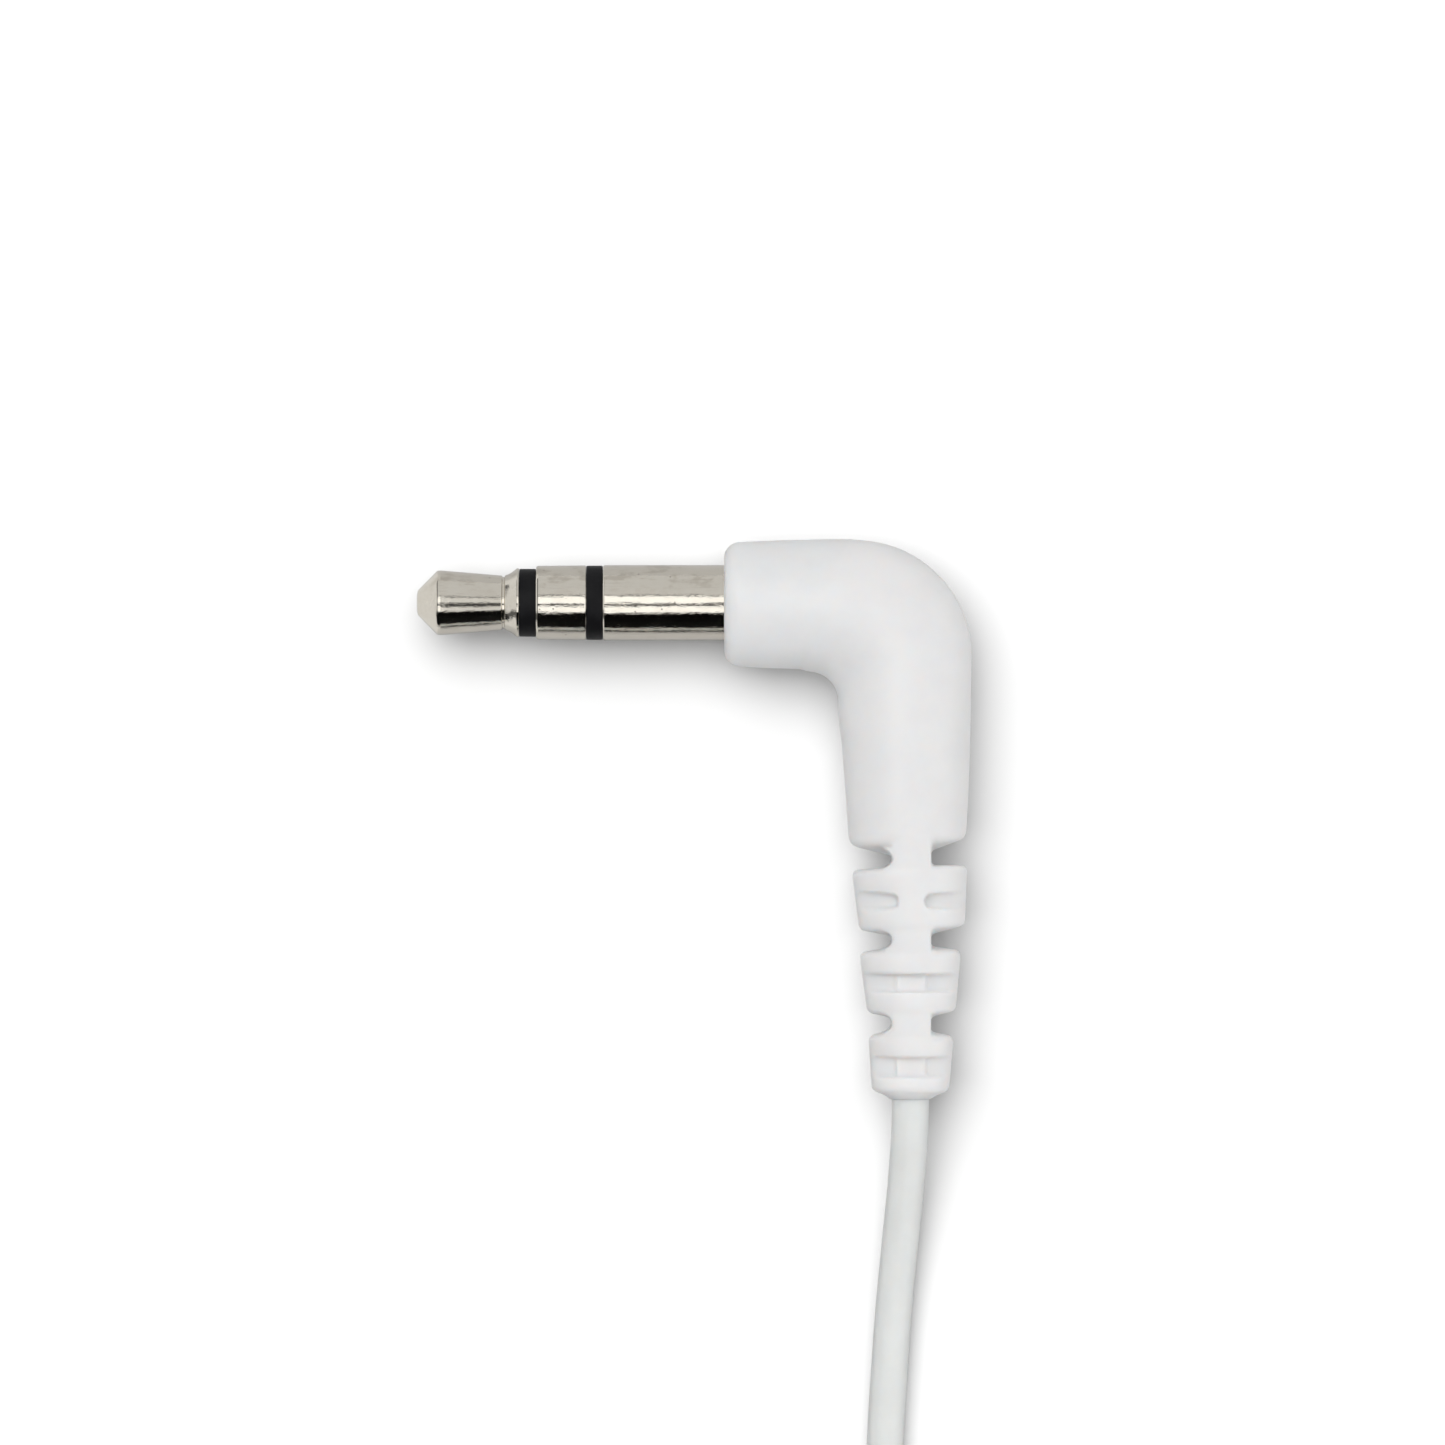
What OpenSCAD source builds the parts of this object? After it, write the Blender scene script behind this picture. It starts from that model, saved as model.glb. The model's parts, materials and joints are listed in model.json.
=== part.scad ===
// Wired in-ear earphones with a right-angle 3.5 mm stereo plug.
// Millimetres, +Z up. The origin is the centre of the plug's shoulder, where the sleeve
// leaves the housing. The plug points along -X and its cord leaves along -Y. The whole set
// lies on the plane z = -arm_r: plug, main coil, Y split, slider, branch coils, earpieces.

/* [Plug contacts] */
// Diameter of the sleeve contact, the size that a 3.5 mm socket is made for
plug_d = 3.5; // [3.3:0.05:3.7]
// Exposed length of the sleeve contact
sleeve_len = 5.6; // [4:0.1:8]
// Length of each black insulating band
band_len = 0.8; // [0.5:0.05:1.2]
// Length of the ring contact
ring_len = 2.3; // [1.6:0.1:3]
// Length of the flare behind the tip's waist
flare_len = 0.7; // [0.5:0.05:1]
// Length of the tip's taper from its widest place to its waist
tip_len = 3.1; // [2.4:0.1:3.8]
// Length of the tip's pointed nose
nose_len = 0.93; // [0.6:0.05:1.3]
// Widest diameter of the tip
tip_d = 3.0; // [2.7:0.05:3.2]
// Diameter of the tip's waist
waist_d = 2.57; // [2.2:0.05:2.65]
// Diameter of the flat at the very end of the tip
nose_d = 1.15; // [0.8:0.05:1.6]
// Diameter of the rod that carries the tip through the plug
rod_d = 1.0; // [0.8:0.05:1.2]
// Wall of each tube nested round the rod
tube_wall = 0.25; // [0.2:0.01:0.28]
// Length of each contact that is left bare for soldering
lug_len = 1.0; // [0.8:0.1:1.4]
// Diameter of the collar that anchors the sleeve in the housing
collar_d = 4.2; // [4:0.1:4.5]
// Thickness of the collar
collar_t = 0.6; // [0.4:0.1:0.9]

/* [Plug housing] */
// Radius of the housing's two arms
arm_r = 3.02; // [2.9:0.02:3.4]
// Radius of the housing at its front face
front_r = 2.9; // [2.8:0.02:2.9]
// Rounding of the front edge
front_round = 0.45; // [0.2:0.05:0.6]
// Distance from the shoulder to the axis of the lower arm
arm_x = 8.42; // [8:0.1:10]
// Drop of the upper arm's axis below the plug's axis
arm_drop = 0.06; // [0:0.02:0.1]
// Bend radius of the elbow's outer tube, at its centre line
elbow_r = 2.36; // [2:0.1:2.9]
// Fillet in the inner corner of the elbow
elbow_fillet = 1.2; // [0.8:0.1:1.8]
// Radius of the lower arm where the relief begins
arm_end_r = 2.74; // [2.6:0.02:2.85]
// Distance from the plug's axis to the start of the relief
relief_start = 11.5; // [10.5:0.1:13]
// Wall of the housing round the inner mould
housing_wall = 0.85; // [0.7:0.05:0.9]

/* [Strain relief of the plug] */
// Sideways place of the relief's axis beyond the lower arm's axis
relief_shift = 0.24; // [0:0.02:0.3]
// Length of one segment with its side notch
relief_pitch = 3.84; // [3.4:0.02:4.4]
// Radius of the relief at its end
relief_end_r = 1.7; // [1.5:0.02:1.9]
// Height of the side notches at the neck
notch_h = 0.68; // [0.5:0.02:0.8]
// Material left outside the cord at the side notches
neck_wall = 0.08; // [0.05:0.01:0.2]
// Height of the slots in the top and bottom of each segment
slot_h = 0.85; // [0.6:0.05:1]
// Half thickness of the web that the top and bottom slots leave
web_half = 0.55; // [0.4:0.05:0.7]
// Width of the rib left between the first pair of slots
rib_w = 1.3; // [1:0.1:1.6]

/* [Cords] */
// Diameter of the main cord
cord_d = 1.7; // [1.5:0.05:1.9]
// Diameter of the two branch cords
branch_d = 1.2; // [1:0.05:1.4]
// Diameter of one insulated conductor
wire_d = 0.44; // [0.36:0.02:0.46]
// Turns in the main coil
main_turns = 12.25; // [10.25:1:13.25]
// Radius of the main coil's outermost turn
main_coil_r = 12.6; // [12:0.1:14]
// Turns in each branch coil
branch_turns = 8; // [6:1:9]
// Radius of a branch coil's outermost turn
branch_coil_r = 8.2; // [8:0.1:9]
// Least gap between the turns of a coil
turn_gap = 0.45; // [0.42:0.01:0.5]
// Width of the ties that hold the coils
tie_w = 2.5; // [1.5:0.1:4]
// Thickness of the ties
tie_t = 0.3; // [0.2:0.05:0.4]

/* [Y split and slider] */
// Length of the Y split
split_len = 11; // [9:0.5:13]
// Largest width of the Y split
split_w = 5.6; // [5:0.1:6.5]
// Thickness of the Y split and of the slider
split_t = 3.0; // [2.6:0.1:3.6]
// Distance between the axes of the two branch cords
branch_gap = 2.2; // [2:0.1:2.6]
// Length of the slider
slider_len = 6; // [5:0.5:8]
// Width of the slider
slider_w = 5.4; // [5:0.1:6]
// Radial clearance of the slider on the branch cords
slider_fit = 0.08; // [0.05:0.01:0.1]

/* [Earpiece shells] */
// Wall of the shells
shell_wall = 0.9; // [0.7:0.05:0.9]
// Clearance of the driver in the shells
driver_gap = 0.1; // [0.05:0.05:0.2]
// Height of the front shell's dome
dome_h = 3.8; // [3.6:0.1:4.4]
// Height of the rear shell
rear_h = 6.2; // [6.2:0.1:7]
// Diameter of the rear cap
cap_d = 9.2; // [8.6:0.1:9.6]
// Thickness of the rear cap
cap_t = 1.0; // [0.8:0.1:1.2]
// Diameter of the boss round the cord port
boss_d = 4.2; // [4:0.1:4.4]
// Reach of the boss from the earpiece's axis
boss_reach = 8; // [7.5:0.1:9]
// Visible length of the branch cord's relief
boot_len = 5; // [4:0.5:7]
// Outer diameter of the nozzle
nozzle_d = 4.6; // [4.4:0.1:5]
// Bore of the nozzle
nozzle_bore = 3.2; // [2.8:0.1:3.4]
// Length of the nozzle
nozzle_len = 3.2; // [3:0.1:4]

/* [Ear tips] */
// Diameter of the silicone ear tip
tip_flange_d = 12.0; // [11:0.1:13]
// Height of the ear tip
tip_h = 5.7; // [5.4:0.1:6]
// Thickness of the ear tip's skirt
tip_skin = 0.45; // [0.35:0.05:0.6]

/* [Drivers] */
// Diameter of the driver's frame
driver_d = 9.8; // [9.4:0.1:10.4]
// Outer diameter of the yoke
yoke_d = 6.0; // [5.8:0.1:6.2]
// Wall of the yoke
yoke_wall = 0.35; // [0.3:0.05:0.4]
// Diameter of the magnet
magnet_d = 4.2; // [4:0.05:4.3]
// Thickness of the magnet
magnet_h = 0.86; // [0.7:0.02:0.9]
// Diameter of the top plate on the magnet
plate_d = 4.4; // [4.3:0.02:4.45]
// Inner diameter of the voice coil
coil_d = 4.64; // [4.6:0.01:4.68]
// Wall of the voice coil
coil_wall = 0.18; // [0.14:0.01:0.2]
// Thickness of the diaphragm
film_t = 0.12; // [0.08:0.01:0.16]
// Room above and below the diaphragm's rim
stroke_room = 0.32; // [0.3:0.01:0.36]

/* [Hidden] */
$fn = 64;

WHITE = [0.9, 0.9, 0.9];
CORD_WHITE = [0.87, 0.89, 0.88];
NICKEL = [0.73, 0.71, 0.67];
BLACK = [0.06, 0.06, 0.06];
COPPER = [0.78, 0.46, 0.28];

fit = 0.02;                  // clearance between pieces that are pressed or moulded together
through = 1;                 // how far a cut runs past the face that it opens
floor_z = -arm_r;            // the plane that everything lies on
LEFT = 1;
RIGHT = -1;

// Plug, along X from the shoulder: places of the faces between its contacts
band_2_x = -sleeve_len;
ring_x = band_2_x - band_len;
band_1_x = ring_x - ring_len;
tip_x = band_1_x - band_len;
waist_x = tip_x - flare_len;
nose_x = waist_x - tip_len;
contact_round = 0.12;        // rounding of the contacts' front edges
band_sink = 0.01;            // how far the rear band lies below the sleeve

// Radii of the nested tubes, from the rod outwards
rod_r = rod_d / 2;
tube_step = tube_wall + fit;
tip_tube_r = rod_r + tube_step;
ring_tube_r = tip_tube_r + tube_step;
ring_cover_r = ring_tube_r + tube_step;
sleeve_bore_r = ring_cover_r + fit;
sleeve_neck_r = plug_d / 2 - 0.2;
sleeve_seat = 0.1;           // how far the sleeve's barrel is let into the housing

// Rear ends of the tubes inside the housing
collar_x = collar_t;
collar_back = collar_x + collar_t;
ring_cover_back = collar_back + lug_len / 2;
ring_back = ring_cover_back + lug_len;
tip_tube_back = ring_back + lug_len / 2;
rod_back = tip_tube_back + lug_len;
mould_back = rod_back + lug_len * 0.8;
mould_r = arm_r - housing_wall;
front_lip = 0.3;             // part of the front edge's rounding that is nearly flat

// Elbow, lower arm and relief of the housing
arm_y = -arm_drop;
turn_x = arm_x - elbow_r;
turn_y = arm_y - elbow_r;
relief_x = arm_x + relief_shift;
relief_len = 3 * relief_pitch;
relief_end = relief_start + relief_len;
arm_lean = atan(relief_shift / (relief_start + turn_y));
cord_r = cord_d / 2;
neck_half = cord_r + neck_wall;
jacket_y = -7;               // where the cord's jacket ends inside the housing
bend_start = 3;              // length of the lower arm that is still straight
bend_end = 6.6;              // length of it after which it tapers least
web_half_t = 1.3;            // half thickness of the fillet in the inner corner

// Room for the conductors round the elbow: radii about the turn, place in the lower arm
wire_room_half = 0.65;
wire_room_in = 0.4;
wire_room_out = 4.15;
wire_room_x = 7.5;
wire_room_w = 1.75;

// Conductors inside the plug: offset across the cord, height, and where each one ends
wire_r = wire_d / 2;
wire_bend = 2.2;
wire_spread = 0.28;
solder_r = 0.42;
solder_len = 0.6;
WIRES = [
    // [offset in X at the cord, height, y of its run along X, x where it ends]
    [0, 0.3, 0, rod_back + fit],
    [wire_spread, -0.17, ring_tube_r + wire_r + fit, ring_cover_back + lug_len / 2],
    [-wire_spread, -0.17, -(ring_cover_r + wire_r + 0.15), collar_back + fit]
];

// Cords and coils
branch_r = branch_d / 2;
coil_rings = 24;
coil_sides = 6;
cord_sides = 8;
coil_layers = 4;
tie_room = 0.1;
tie_twist = 0.4;             // radius of the twisted ends that lie on top of a tie
coil_lift = tie_t + tie_room;
branch_z = floor_z + split_t / 2;
row_y = -70;
left_y = row_y + branch_gap / 2;
coil_entry = [7.3, -57.4];
branch_coil_x = -57;
main_coil_c = [coil_entry[0] - main_coil_r, coil_entry[1], floor_z + coil_lift + cord_r];
branch_coil_c = [branch_coil_x, left_y + branch_coil_r, floor_z + coil_lift + branch_r];
split_x = -24;
slider_x = -43.5;
cord_grip = 2;               // how far a cord runs into the Y split
core_half = 1.5;             // half width of the joined conductors inside the Y split

// Route of the main cord from the plug to the coil, and from the coil to the Y split
LEAD_ROUTE = [
    [8.66, -7, 0], [8.66, -11, 0], [8.66, -15, 0], [8.66, -19, 0], [8.66, -22.6, 0],
    [8.6, -24.8, -0.33], [8.42, -27.3, -1.02], [8.16, -30, -1.6], [7.9, -32.8, -1.93],
    [7.7, -35.6, -2.06], [7.53, -38.4, -2.1], [7.42, -42, -2.1], [7.35, -46, -1.98],
    [7.31, -49.5, -1.83], [7.3, -52.6, -1.77], [7.3, -55.7, -1.77]
];
TAIL_ROUTE = [
    [-7, -70, 4.68], [-9.5, -70, 4.5], [-12.2, -70, 3.5], [-15, -70, 1.7],
    [-17.8, -70, -0.1], [-20.4, -70, -1.2], [-22.8, -70, -1.52], [-26, -70, -1.52]
];
// Routes of the left branch cord; the right one mirrors them in the plane y = row_y
BRANCH_LEAD_ROUTE = [
    [-33, -68.9, -1.52], [-36, -68.9, -1.52], [-39, -68.9, -1.52], [-42, -68.9, -1.52],
    [-45, -68.9, -1.52], [-48, -68.9, -1.52], [-51.6, -68.9, -1.52], [-53.6, -68.9, -1.9],
    [-54.8, -68.9, -2.02], [-55.8, -68.9, -2.02]
];
BRANCH_TAIL_ROUTE = [
    [-58.2, -68.9, 2.93], [-60.3, -68.7, 2.75], [-62.7, -67.7, 1.95], [-65, -66, 0.85],
    [-67.2, -64.1, 0], [-69.2, -62.9, -0.2], [-71, -62.5, -0.25], [-73.5, -62.5, -0.25],
    [-76, -62.5, -0.25], [-79.4, -62.5, -0.25]
];

// Earpieces, each in its own frame: origin on the floor under its axis, cord port along +X
ear_x = -84;
ear_y = 7.5;                 // of the left one from row_y
inner_r = driver_d / 2 + driver_gap;
body_r = inner_r + shell_wall;
cap_r = cap_d / 2;
shell_round = 0.86 * (body_r - cap_r - fit);
shell_foot = 0.25;           // gap between the shell's foot and the floor
shell_floor = cap_t + fit + 0.7;
lip = 0.45;                  // thickness of the front shell's spigot
lip_h = 0.8;
port_r = 1.0;
port_z = shell_floor + port_r + 0.05;
boss_r = boss_d / 2;
vent_r = 0.35;
nozzle_r = nozzle_d / 2;
bore_r = nozzle_bore / 2;
mesh_r = bore_r + 0.35;
mesh_t = 0.2;
barb = 0.15;
boot_end = boss_reach + fit + boot_len;
lead_x = 1.2;                // where the leads turn up to the terminal board
lead_r = 0.18;
cord_stop = BRANCH_TAIL_ROUTE[len(BRANCH_TAIL_ROUTE) - 1][0] - ear_x;

// Driver stack, from the terminal board upwards
board_t = 0.4;
board_r = 2.3;
board_z = port_z + branch_r + 0.05;
yoke_r = yoke_d / 2;
yoke_z = board_z + board_t + fit;
yoke_floor = 0.4;
magnet_z = yoke_z + yoke_floor + fit;
plate_z = magnet_z + magnet_h + fit;
yoke_top = plate_z + yoke_floor;
frame_r = driver_d / 2;
frame_z = yoke_z + 0.85;
frame_t = 0.5;
frame_wall = 1.0;            // radial width of the frame outside its cavity
rim_z = yoke_top + 1.0;
film_low = rim_z - 0.36;
shelf_top = rim_z - stroke_room;
frame_top = rim_z + film_t + stroke_room;
rim_r = frame_r - 0.5;
coil_in = coil_d / 2;
coil_out = coil_in + coil_wall;
coil_low = plate_z - 0.25;
grille_t = 0.2;
grille_z = frame_top + fit;
grille_rise = 0.7;
grille_dome_r = frame_r - 1.2;
grille_hole_r = 0.55;
grille_skew = 0.15;          // half of the slope between the grille's dome and its rim
step_z = grille_z + grille_t + fit;
dome_top = step_z + dome_h;
nozzle_top = dome_top + nozzle_len;

// Ear tip: its seat is the nozzle's end
tip_seat = nozzle_top + fit;
tip_bore = nozzle_r + barb + 0.05;
tip_tube = tip_bore + 0.6;
tip_grip = 2.9;              // length of the ear tip's tube on the nozzle
tip_top = tip_seat + 1.6;
tip_r = tip_flange_d / 2;

// ---------- helpers ----------

function unit(v) = v / norm(v);
function mirrored(p) = [for (q = p) [q[0], 2 * row_y - q[1], q[2]]];
function tangent(p, i) = unit(p[min(i + 1, len(p) - 1)] - p[max(i - 1, 0)]);
function ring_points(c, t, r, n) =
    let (s = unit(cross(t, [0, 0, 1])), u = cross(s, t))
    [for (k = [0 : n - 1]) c + r * (cos(360 * (k + 0.5) / n) * s + sin(360 * (k + 0.5) / n) * u)];

// A closed tube of n sides and radius r along the points p
module tube(p, r, n) {
    last = (len(p) - 1) * n;
    points = [for (i = [0 : len(p) - 1]) each ring_points(p[i], tangent(p, i), r, n)];
    sides = [for (i = [0 : len(p) - 2], k = [0 : n - 1])
        let (a = i * n + k, b = i * n + (k + 1) % n)
        each [[a, b, b + n], [a, b + n, a + n]]];
    ends = [for (k = [1 : n - 2]) each [[0, k + 1, k], [last, last + k, last + k + 1]]];
    polyhedron(points, concat(sides, ends));
}

// A coil that spirals in and out again, climbing a layer in the half turn about each reversal.
// It starts at angle a0, turns clockwise for way = -1, and its ends run straight for one diameter.
function zigzag(v) = let (w = v - 2 * floor(v / 2)) w < 1 ? w : 2 - w;
function climb(t, per, k) = min(1, max(0, 2 * (t - k * per) + 0.5));
function layer(t, per) = climb(t, per, 1) + climb(t, per, 2) + climb(t, per, 3);
function coil_point(c, r, step, turns, a0, way, t) =
    let (per = turns / coil_layers, q = r - step * per * zigzag(t / per), a = a0 + way * 360 * t)
    [c[0] + q * cos(a), c[1] + q * sin(a), c[2] + step * layer(t, per)];
function heading(a, way) = way * [-sin(a), cos(a), 0];
function coil_path(c, r, d, turns, a0, way) =
    let (step = d + turn_gap, n = round(turns * coil_rings), a1 = a0 + way * 360 * turns,
        p = [for (i = [0 : n]) coil_point(c, r, step, turns, a0, way, i / coil_rings)])
    concat([p[0] - d * heading(a0, way)], p, [p[n] + d * heading(a1, way)]);
// Least gap of a tube to itself, over points at least half a turn apart
function self_gap(p, d) = min([
    for (i = [0 : len(p) - 1], j = [i + coil_rings / 2 : 1 : len(p) - 1]) norm(p[i] - p[j])]) - d;
function path_length(p) = len(p) < 2 ? 0 : sum_steps(p, 1, 0);
function sum_steps(p, i, s) = i >= len(p) ? s : sum_steps(p, i + 1, s + norm(p[i] - p[i - 1]));

module along_x() rotate([0, 90, 0]) children();
module along_minus_y() rotate([90, 0, 0]) children();

// A body of revolution about X from points [x, radius]
module turned(p) along_x() rotate_extrude() polygon([for (q = p) [q[1], q[0]]]);

module rod(x0, x1, r) translate([x0, 0, 0]) along_x() cylinder(h = x1 - x0, r = r);

module pipe(x0, x1, r_in, r_out) difference() {
    rod(x0, x1, r_out);
    rod(x0 - through, x1 + through, r_in);
}

module rounded_rect(w, h, r) union() {
    square([w - 2 * r, h], center = true);
    square([w, h - 2 * r], center = true);
    for (x = [-1, 1], y = [-1, 1]) translate([x * (w / 2 - r), y * (h / 2 - r)]) circle(r);
}

// ---------- plug ----------

module tip_contact() color(NICKEL) union() {
    turned([
        [nose_x - nose_len, 0], [nose_x - nose_len, nose_d / 2],
        [nose_x - contact_round, tip_d / 2 - contact_round], [nose_x, tip_d / 2 - 0.03],
        [nose_x + contact_round, tip_d / 2], [waist_x, waist_d / 2],
        [waist_x + flare_len * 0.35, waist_d / 2 + 0.06],
        [waist_x + flare_len * 0.65, waist_d / 2 + 0.2],
        [tip_x, plug_d / 2 - 0.15], [tip_x, 0]
    ]);
    rod(tip_x - 0.5, rod_back, rod_r);
}

module tip_insulator() color(BLACK) union() {
    pipe(tip_x + fit, band_1_x - fit, rod_r + fit, plug_d / 2 - 0.18);
    pipe(tip_x + fit, tip_tube_back, rod_r + fit, tip_tube_r);
}

module ring_contact() color(NICKEL) union() {
    difference() {
        turned([
            [band_1_x, 0], [band_1_x, plug_d / 2 - 0.04 - contact_round],
            [band_1_x + contact_round, plug_d / 2 - 0.04], [ring_x, plug_d / 2 - 0.02], [ring_x, 0]
        ]);
        rod(band_1_x - through, ring_x + through, tip_tube_r + fit);
    }
    pipe(band_1_x, ring_back, tip_tube_r + fit, ring_tube_r);
}

module ring_insulator() color(BLACK) union() {
    pipe(ring_x + fit, band_2_x - fit, ring_tube_r + fit, plug_d / 2 - band_sink);
    pipe(ring_x + fit, ring_cover_back, ring_tube_r + fit, ring_cover_r);
}

module sleeve_contact() color(NICKEL) union() {
    pipe(band_2_x, sleeve_seat, sleeve_bore_r, plug_d / 2);
    pipe(-collar_t, collar_back, sleeve_bore_r, sleeve_neck_r);
    pipe(collar_x, collar_back, sleeve_bore_r, collar_d / 2);
}

// One conductor: up from the cord's jacket, round a quarter turn and along -X to its lug
module conductor(w, r) {
    x = relief_x + w[0];
    translate([0, 0, w[1]]) {
        translate([x, w[2] - wire_bend, 0]) along_minus_y()
            cylinder(h = w[2] - wire_bend - jacket_y, r = r);
        translate([x - wire_bend, w[2] - wire_bend, 0])
            rotate_extrude(angle = 90) translate([wire_bend, 0]) circle(r);
        translate([0, w[2], 0]) rod(w[3], x - wire_bend, r);
    }
}

module plug_conductors() color(COPPER) for (w = WIRES) conductor(w, wire_r);

module solder_joint(w, r) translate([0, w[2], w[1]]) rod(w[3], w[3] + solder_len, r);

// Room that the nested tubes take inside the housing
module contact_room() {
    rod(0, rod_back + fit, rod_r + fit);
    rod(0, tip_tube_back + fit, tip_tube_r + fit);
    rod(0, ring_back + fit, ring_tube_r + fit);
    rod(0, ring_cover_back + fit, ring_cover_r + fit);
}

module plug_solder() color(NICKEL) for (w = WIRES) difference() {
    solder_joint(w, solder_r);
    conductor(w, wire_r + fit);
    contact_room();
}

module plug_inner_mould() color("gainsboro") difference() {
    rod(collar_back + fit, mould_back, mould_r - fit);
    contact_room();
    for (w = WIRES) {
        conductor(w, wire_r + 2 * fit);
        translate([-fit, 0, 0]) solder_joint(w, solder_r + fit);
        translate([fit, 0, 0]) solder_joint(w, solder_r + fit);
    }
}

// Half outline of a side notch, x from the relief's axis, y = 0 at the notch's middle
module side_notch(side, square_end) {
    reach = arm_r + through;
    translate([relief_x, 0, -reach]) mirror([side < 0 ? 1 : 0, 0, 0]) linear_extrude(2 * reach) {
        polygon([
            [neck_half + (square_end ? 0 : notch_h / 2), -notch_h / 2], [reach, -notch_h / 2 - 0.1],
            [reach, notch_h / 2 + 0.62], [arm_end_r, notch_h / 2 + 0.45],
            [neck_half + (square_end ? 0 : notch_h / 2), notch_h / 2]
        ]);
        if (!square_end) translate([neck_half + notch_h / 2, 0]) circle(notch_h / 2);
    }
}

module web_slots(open_middle) {
    reach = arm_r + through;
    for (z = [-1, 1]) difference() {
        translate([relief_x - reach, -slot_h / 2, z > 0 ? web_half : -web_half - reach])
            cube([2 * reach, slot_h, reach]);
        if (!open_middle) translate([relief_x - rib_w / 2, -slot_h, -2 * reach])
            cube([rib_w, 2 * slot_h, 4 * reach]);
    }
}

module upper_arm() difference() {
    translate([0, arm_y, 0]) turned([
        [0, 0], [0, front_r - front_round],
        [front_round * front_lip, front_r - front_round * front_lip], [front_round, front_r],
        [turn_x / 2, arm_r], [turn_x, arm_r], [turn_x, 0]
    ]);
    rod(-through, sleeve_seat + fit, plug_d / 2 + fit);
    rod(-through, collar_x, sleeve_neck_r + fit);
    rod(collar_x - fit, collar_back + 2 * fit, collar_d / 2 + fit);
    rod(collar_back, mould_back + fit, mould_r);
    translate([mould_back, turn_y + wire_room_in, -wire_room_half])
        cube([turn_x - mould_back + through, wire_room_out - wire_room_in, 2 * wire_room_half]);
}

module elbow() translate([turn_x, turn_y, 0]) rotate_extrude(angle = 90) difference() {
    intersection() {
        translate([elbow_r, 0]) circle(arm_r);
        translate([0, -arm_r]) square([elbow_r + arm_r, 2 * arm_r]);
    }
    translate([wire_room_in, -wire_room_half])
        square([wire_room_out - wire_room_in, 2 * wire_room_half]);
}

module inner_fillet() translate([arm_x - arm_r, arm_y - arm_r, 0])
    linear_extrude(height = 2 * web_half_t, center = true) difference() {
        translate([0.1 - elbow_fillet, 0.1 - elbow_fillet]) square(2);
        translate([-elbow_fillet, -elbow_fillet]) circle(elbow_fillet);
    }

module lower_arm() translate([arm_x, turn_y, 0]) rotate([0, 0, arm_lean]) along_minus_y()
    rotate_extrude() polygon([
        [0, 0], [arm_r, 0], [arm_r, bend_start], [arm_end_r + 0.14, bend_end],
        [arm_end_r, relief_start + turn_y - 0.4], [arm_end_r - 0.1, relief_start + turn_y],
        [0, relief_start + turn_y]
    ]);

module relief_cone() translate([relief_x, -relief_start + 0.3, 0]) along_minus_y()
    rotate_extrude() polygon([
        [0, 0], [arm_end_r, 0], [relief_end_r, relief_len - 0.3],
        [relief_end_r - 0.2, relief_len], [cord_r + 0.1, relief_len + 0.3], [0, relief_len + 0.3]
    ]);

module arm_with_relief() difference() {
    union() {
        lower_arm();
        relief_cone();
    }
    for (i = [0 : 2]) {
        translate([0, -relief_start - 0.3 - i * relief_pitch, 0]) {
            side_notch(-1, false);
            side_notch(1, true);
        }
        translate([0, -relief_start - 2.23 - i * relief_pitch, 0]) web_slots(i > 0);
    }
    translate([wire_room_x, jacket_y, -wire_room_half])
        cube([wire_room_w, turn_y - jacket_y + through, 2 * wire_room_half]);
    translate([relief_x, jacket_y + fit, 0]) along_minus_y()
        cylinder(h = relief_end + through, r = cord_r + fit);
}

module plug_housing() color(WHITE) union() {
    upper_arm();
    elbow();
    inner_fillet();
    arm_with_relief();
}

// ---------- main cord, Y split and slider ----------

MAIN_COIL = coil_path(main_coil_c, main_coil_r, cord_d, main_turns, 0, -1);
LEFT_COIL = coil_path(branch_coil_c, branch_coil_r, branch_d, branch_turns, -90, -1);
echo(str("least gap of the main coil to itself: ", self_gap(MAIN_COIL, cord_d), " mm"));
echo(str("least gap of a branch coil to itself: ", self_gap(LEFT_COIL, branch_d), " mm"));
echo(str("main cord: ", path_length(LEAD_ROUTE) + path_length(MAIN_COIL) + path_length(TAIL_ROUTE),
    " mm, each branch cord: ", path_length(BRANCH_LEAD_ROUTE) + path_length(LEFT_COIL)
    + path_length(BRANCH_TAIL_ROUTE), " mm"));

module cord_lead() color(CORD_WHITE) tube(LEAD_ROUTE, cord_r, cord_sides);
module cord_coil() color(CORD_WHITE) tube(MAIN_COIL, cord_r, coil_sides);
module cord_tail() color(CORD_WHITE) tube(TAIL_ROUTE, cord_r, cord_sides);

// A snug band round the turns of the coil p, at angle a of its centre c
function tie_radii(p, c, a) = [for (q = p)
    let (v = q - c, along = v[0] * cos(a) + v[1] * sin(a), across = v[1] * cos(a) - v[0] * sin(a))
    if (along > 0 && abs(across) < 0.5) along];
module tie(p, c, d, a) {
    radii = tie_radii(p, c, a);
    low = min(radii) - d / 2 - tie_room - pow(tie_w / 2, 2) / (2 * min(radii));
    high = max(radii) + d / 2 + tie_room;
    tall = (d + turn_gap) * (coil_layers - 1) + d + 2 * tie_room;
    translate([c[0], c[1], floor_z + tie_t + tall / 2]) rotate([0, 0, a])
        translate([(low + high) / 2, tie_w / 2, 0]) along_minus_y() {
            linear_extrude(tie_w) difference() {
                rounded_rect(high - low + 2 * tie_t, tall + 2 * tie_t, d / 2 + tie_t);
                rounded_rect(high - low, tall, d / 2);
            }
            translate([(low - high) / 2, tall / 2 + tie_t + tie_twist / 2, tie_w / 2]) along_x()
                cylinder(h = high - low, r = tie_twist);
        }
}

module cord_tie() color(WHITE) tie(MAIN_COIL, main_coil_c, cord_d, 180);

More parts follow.
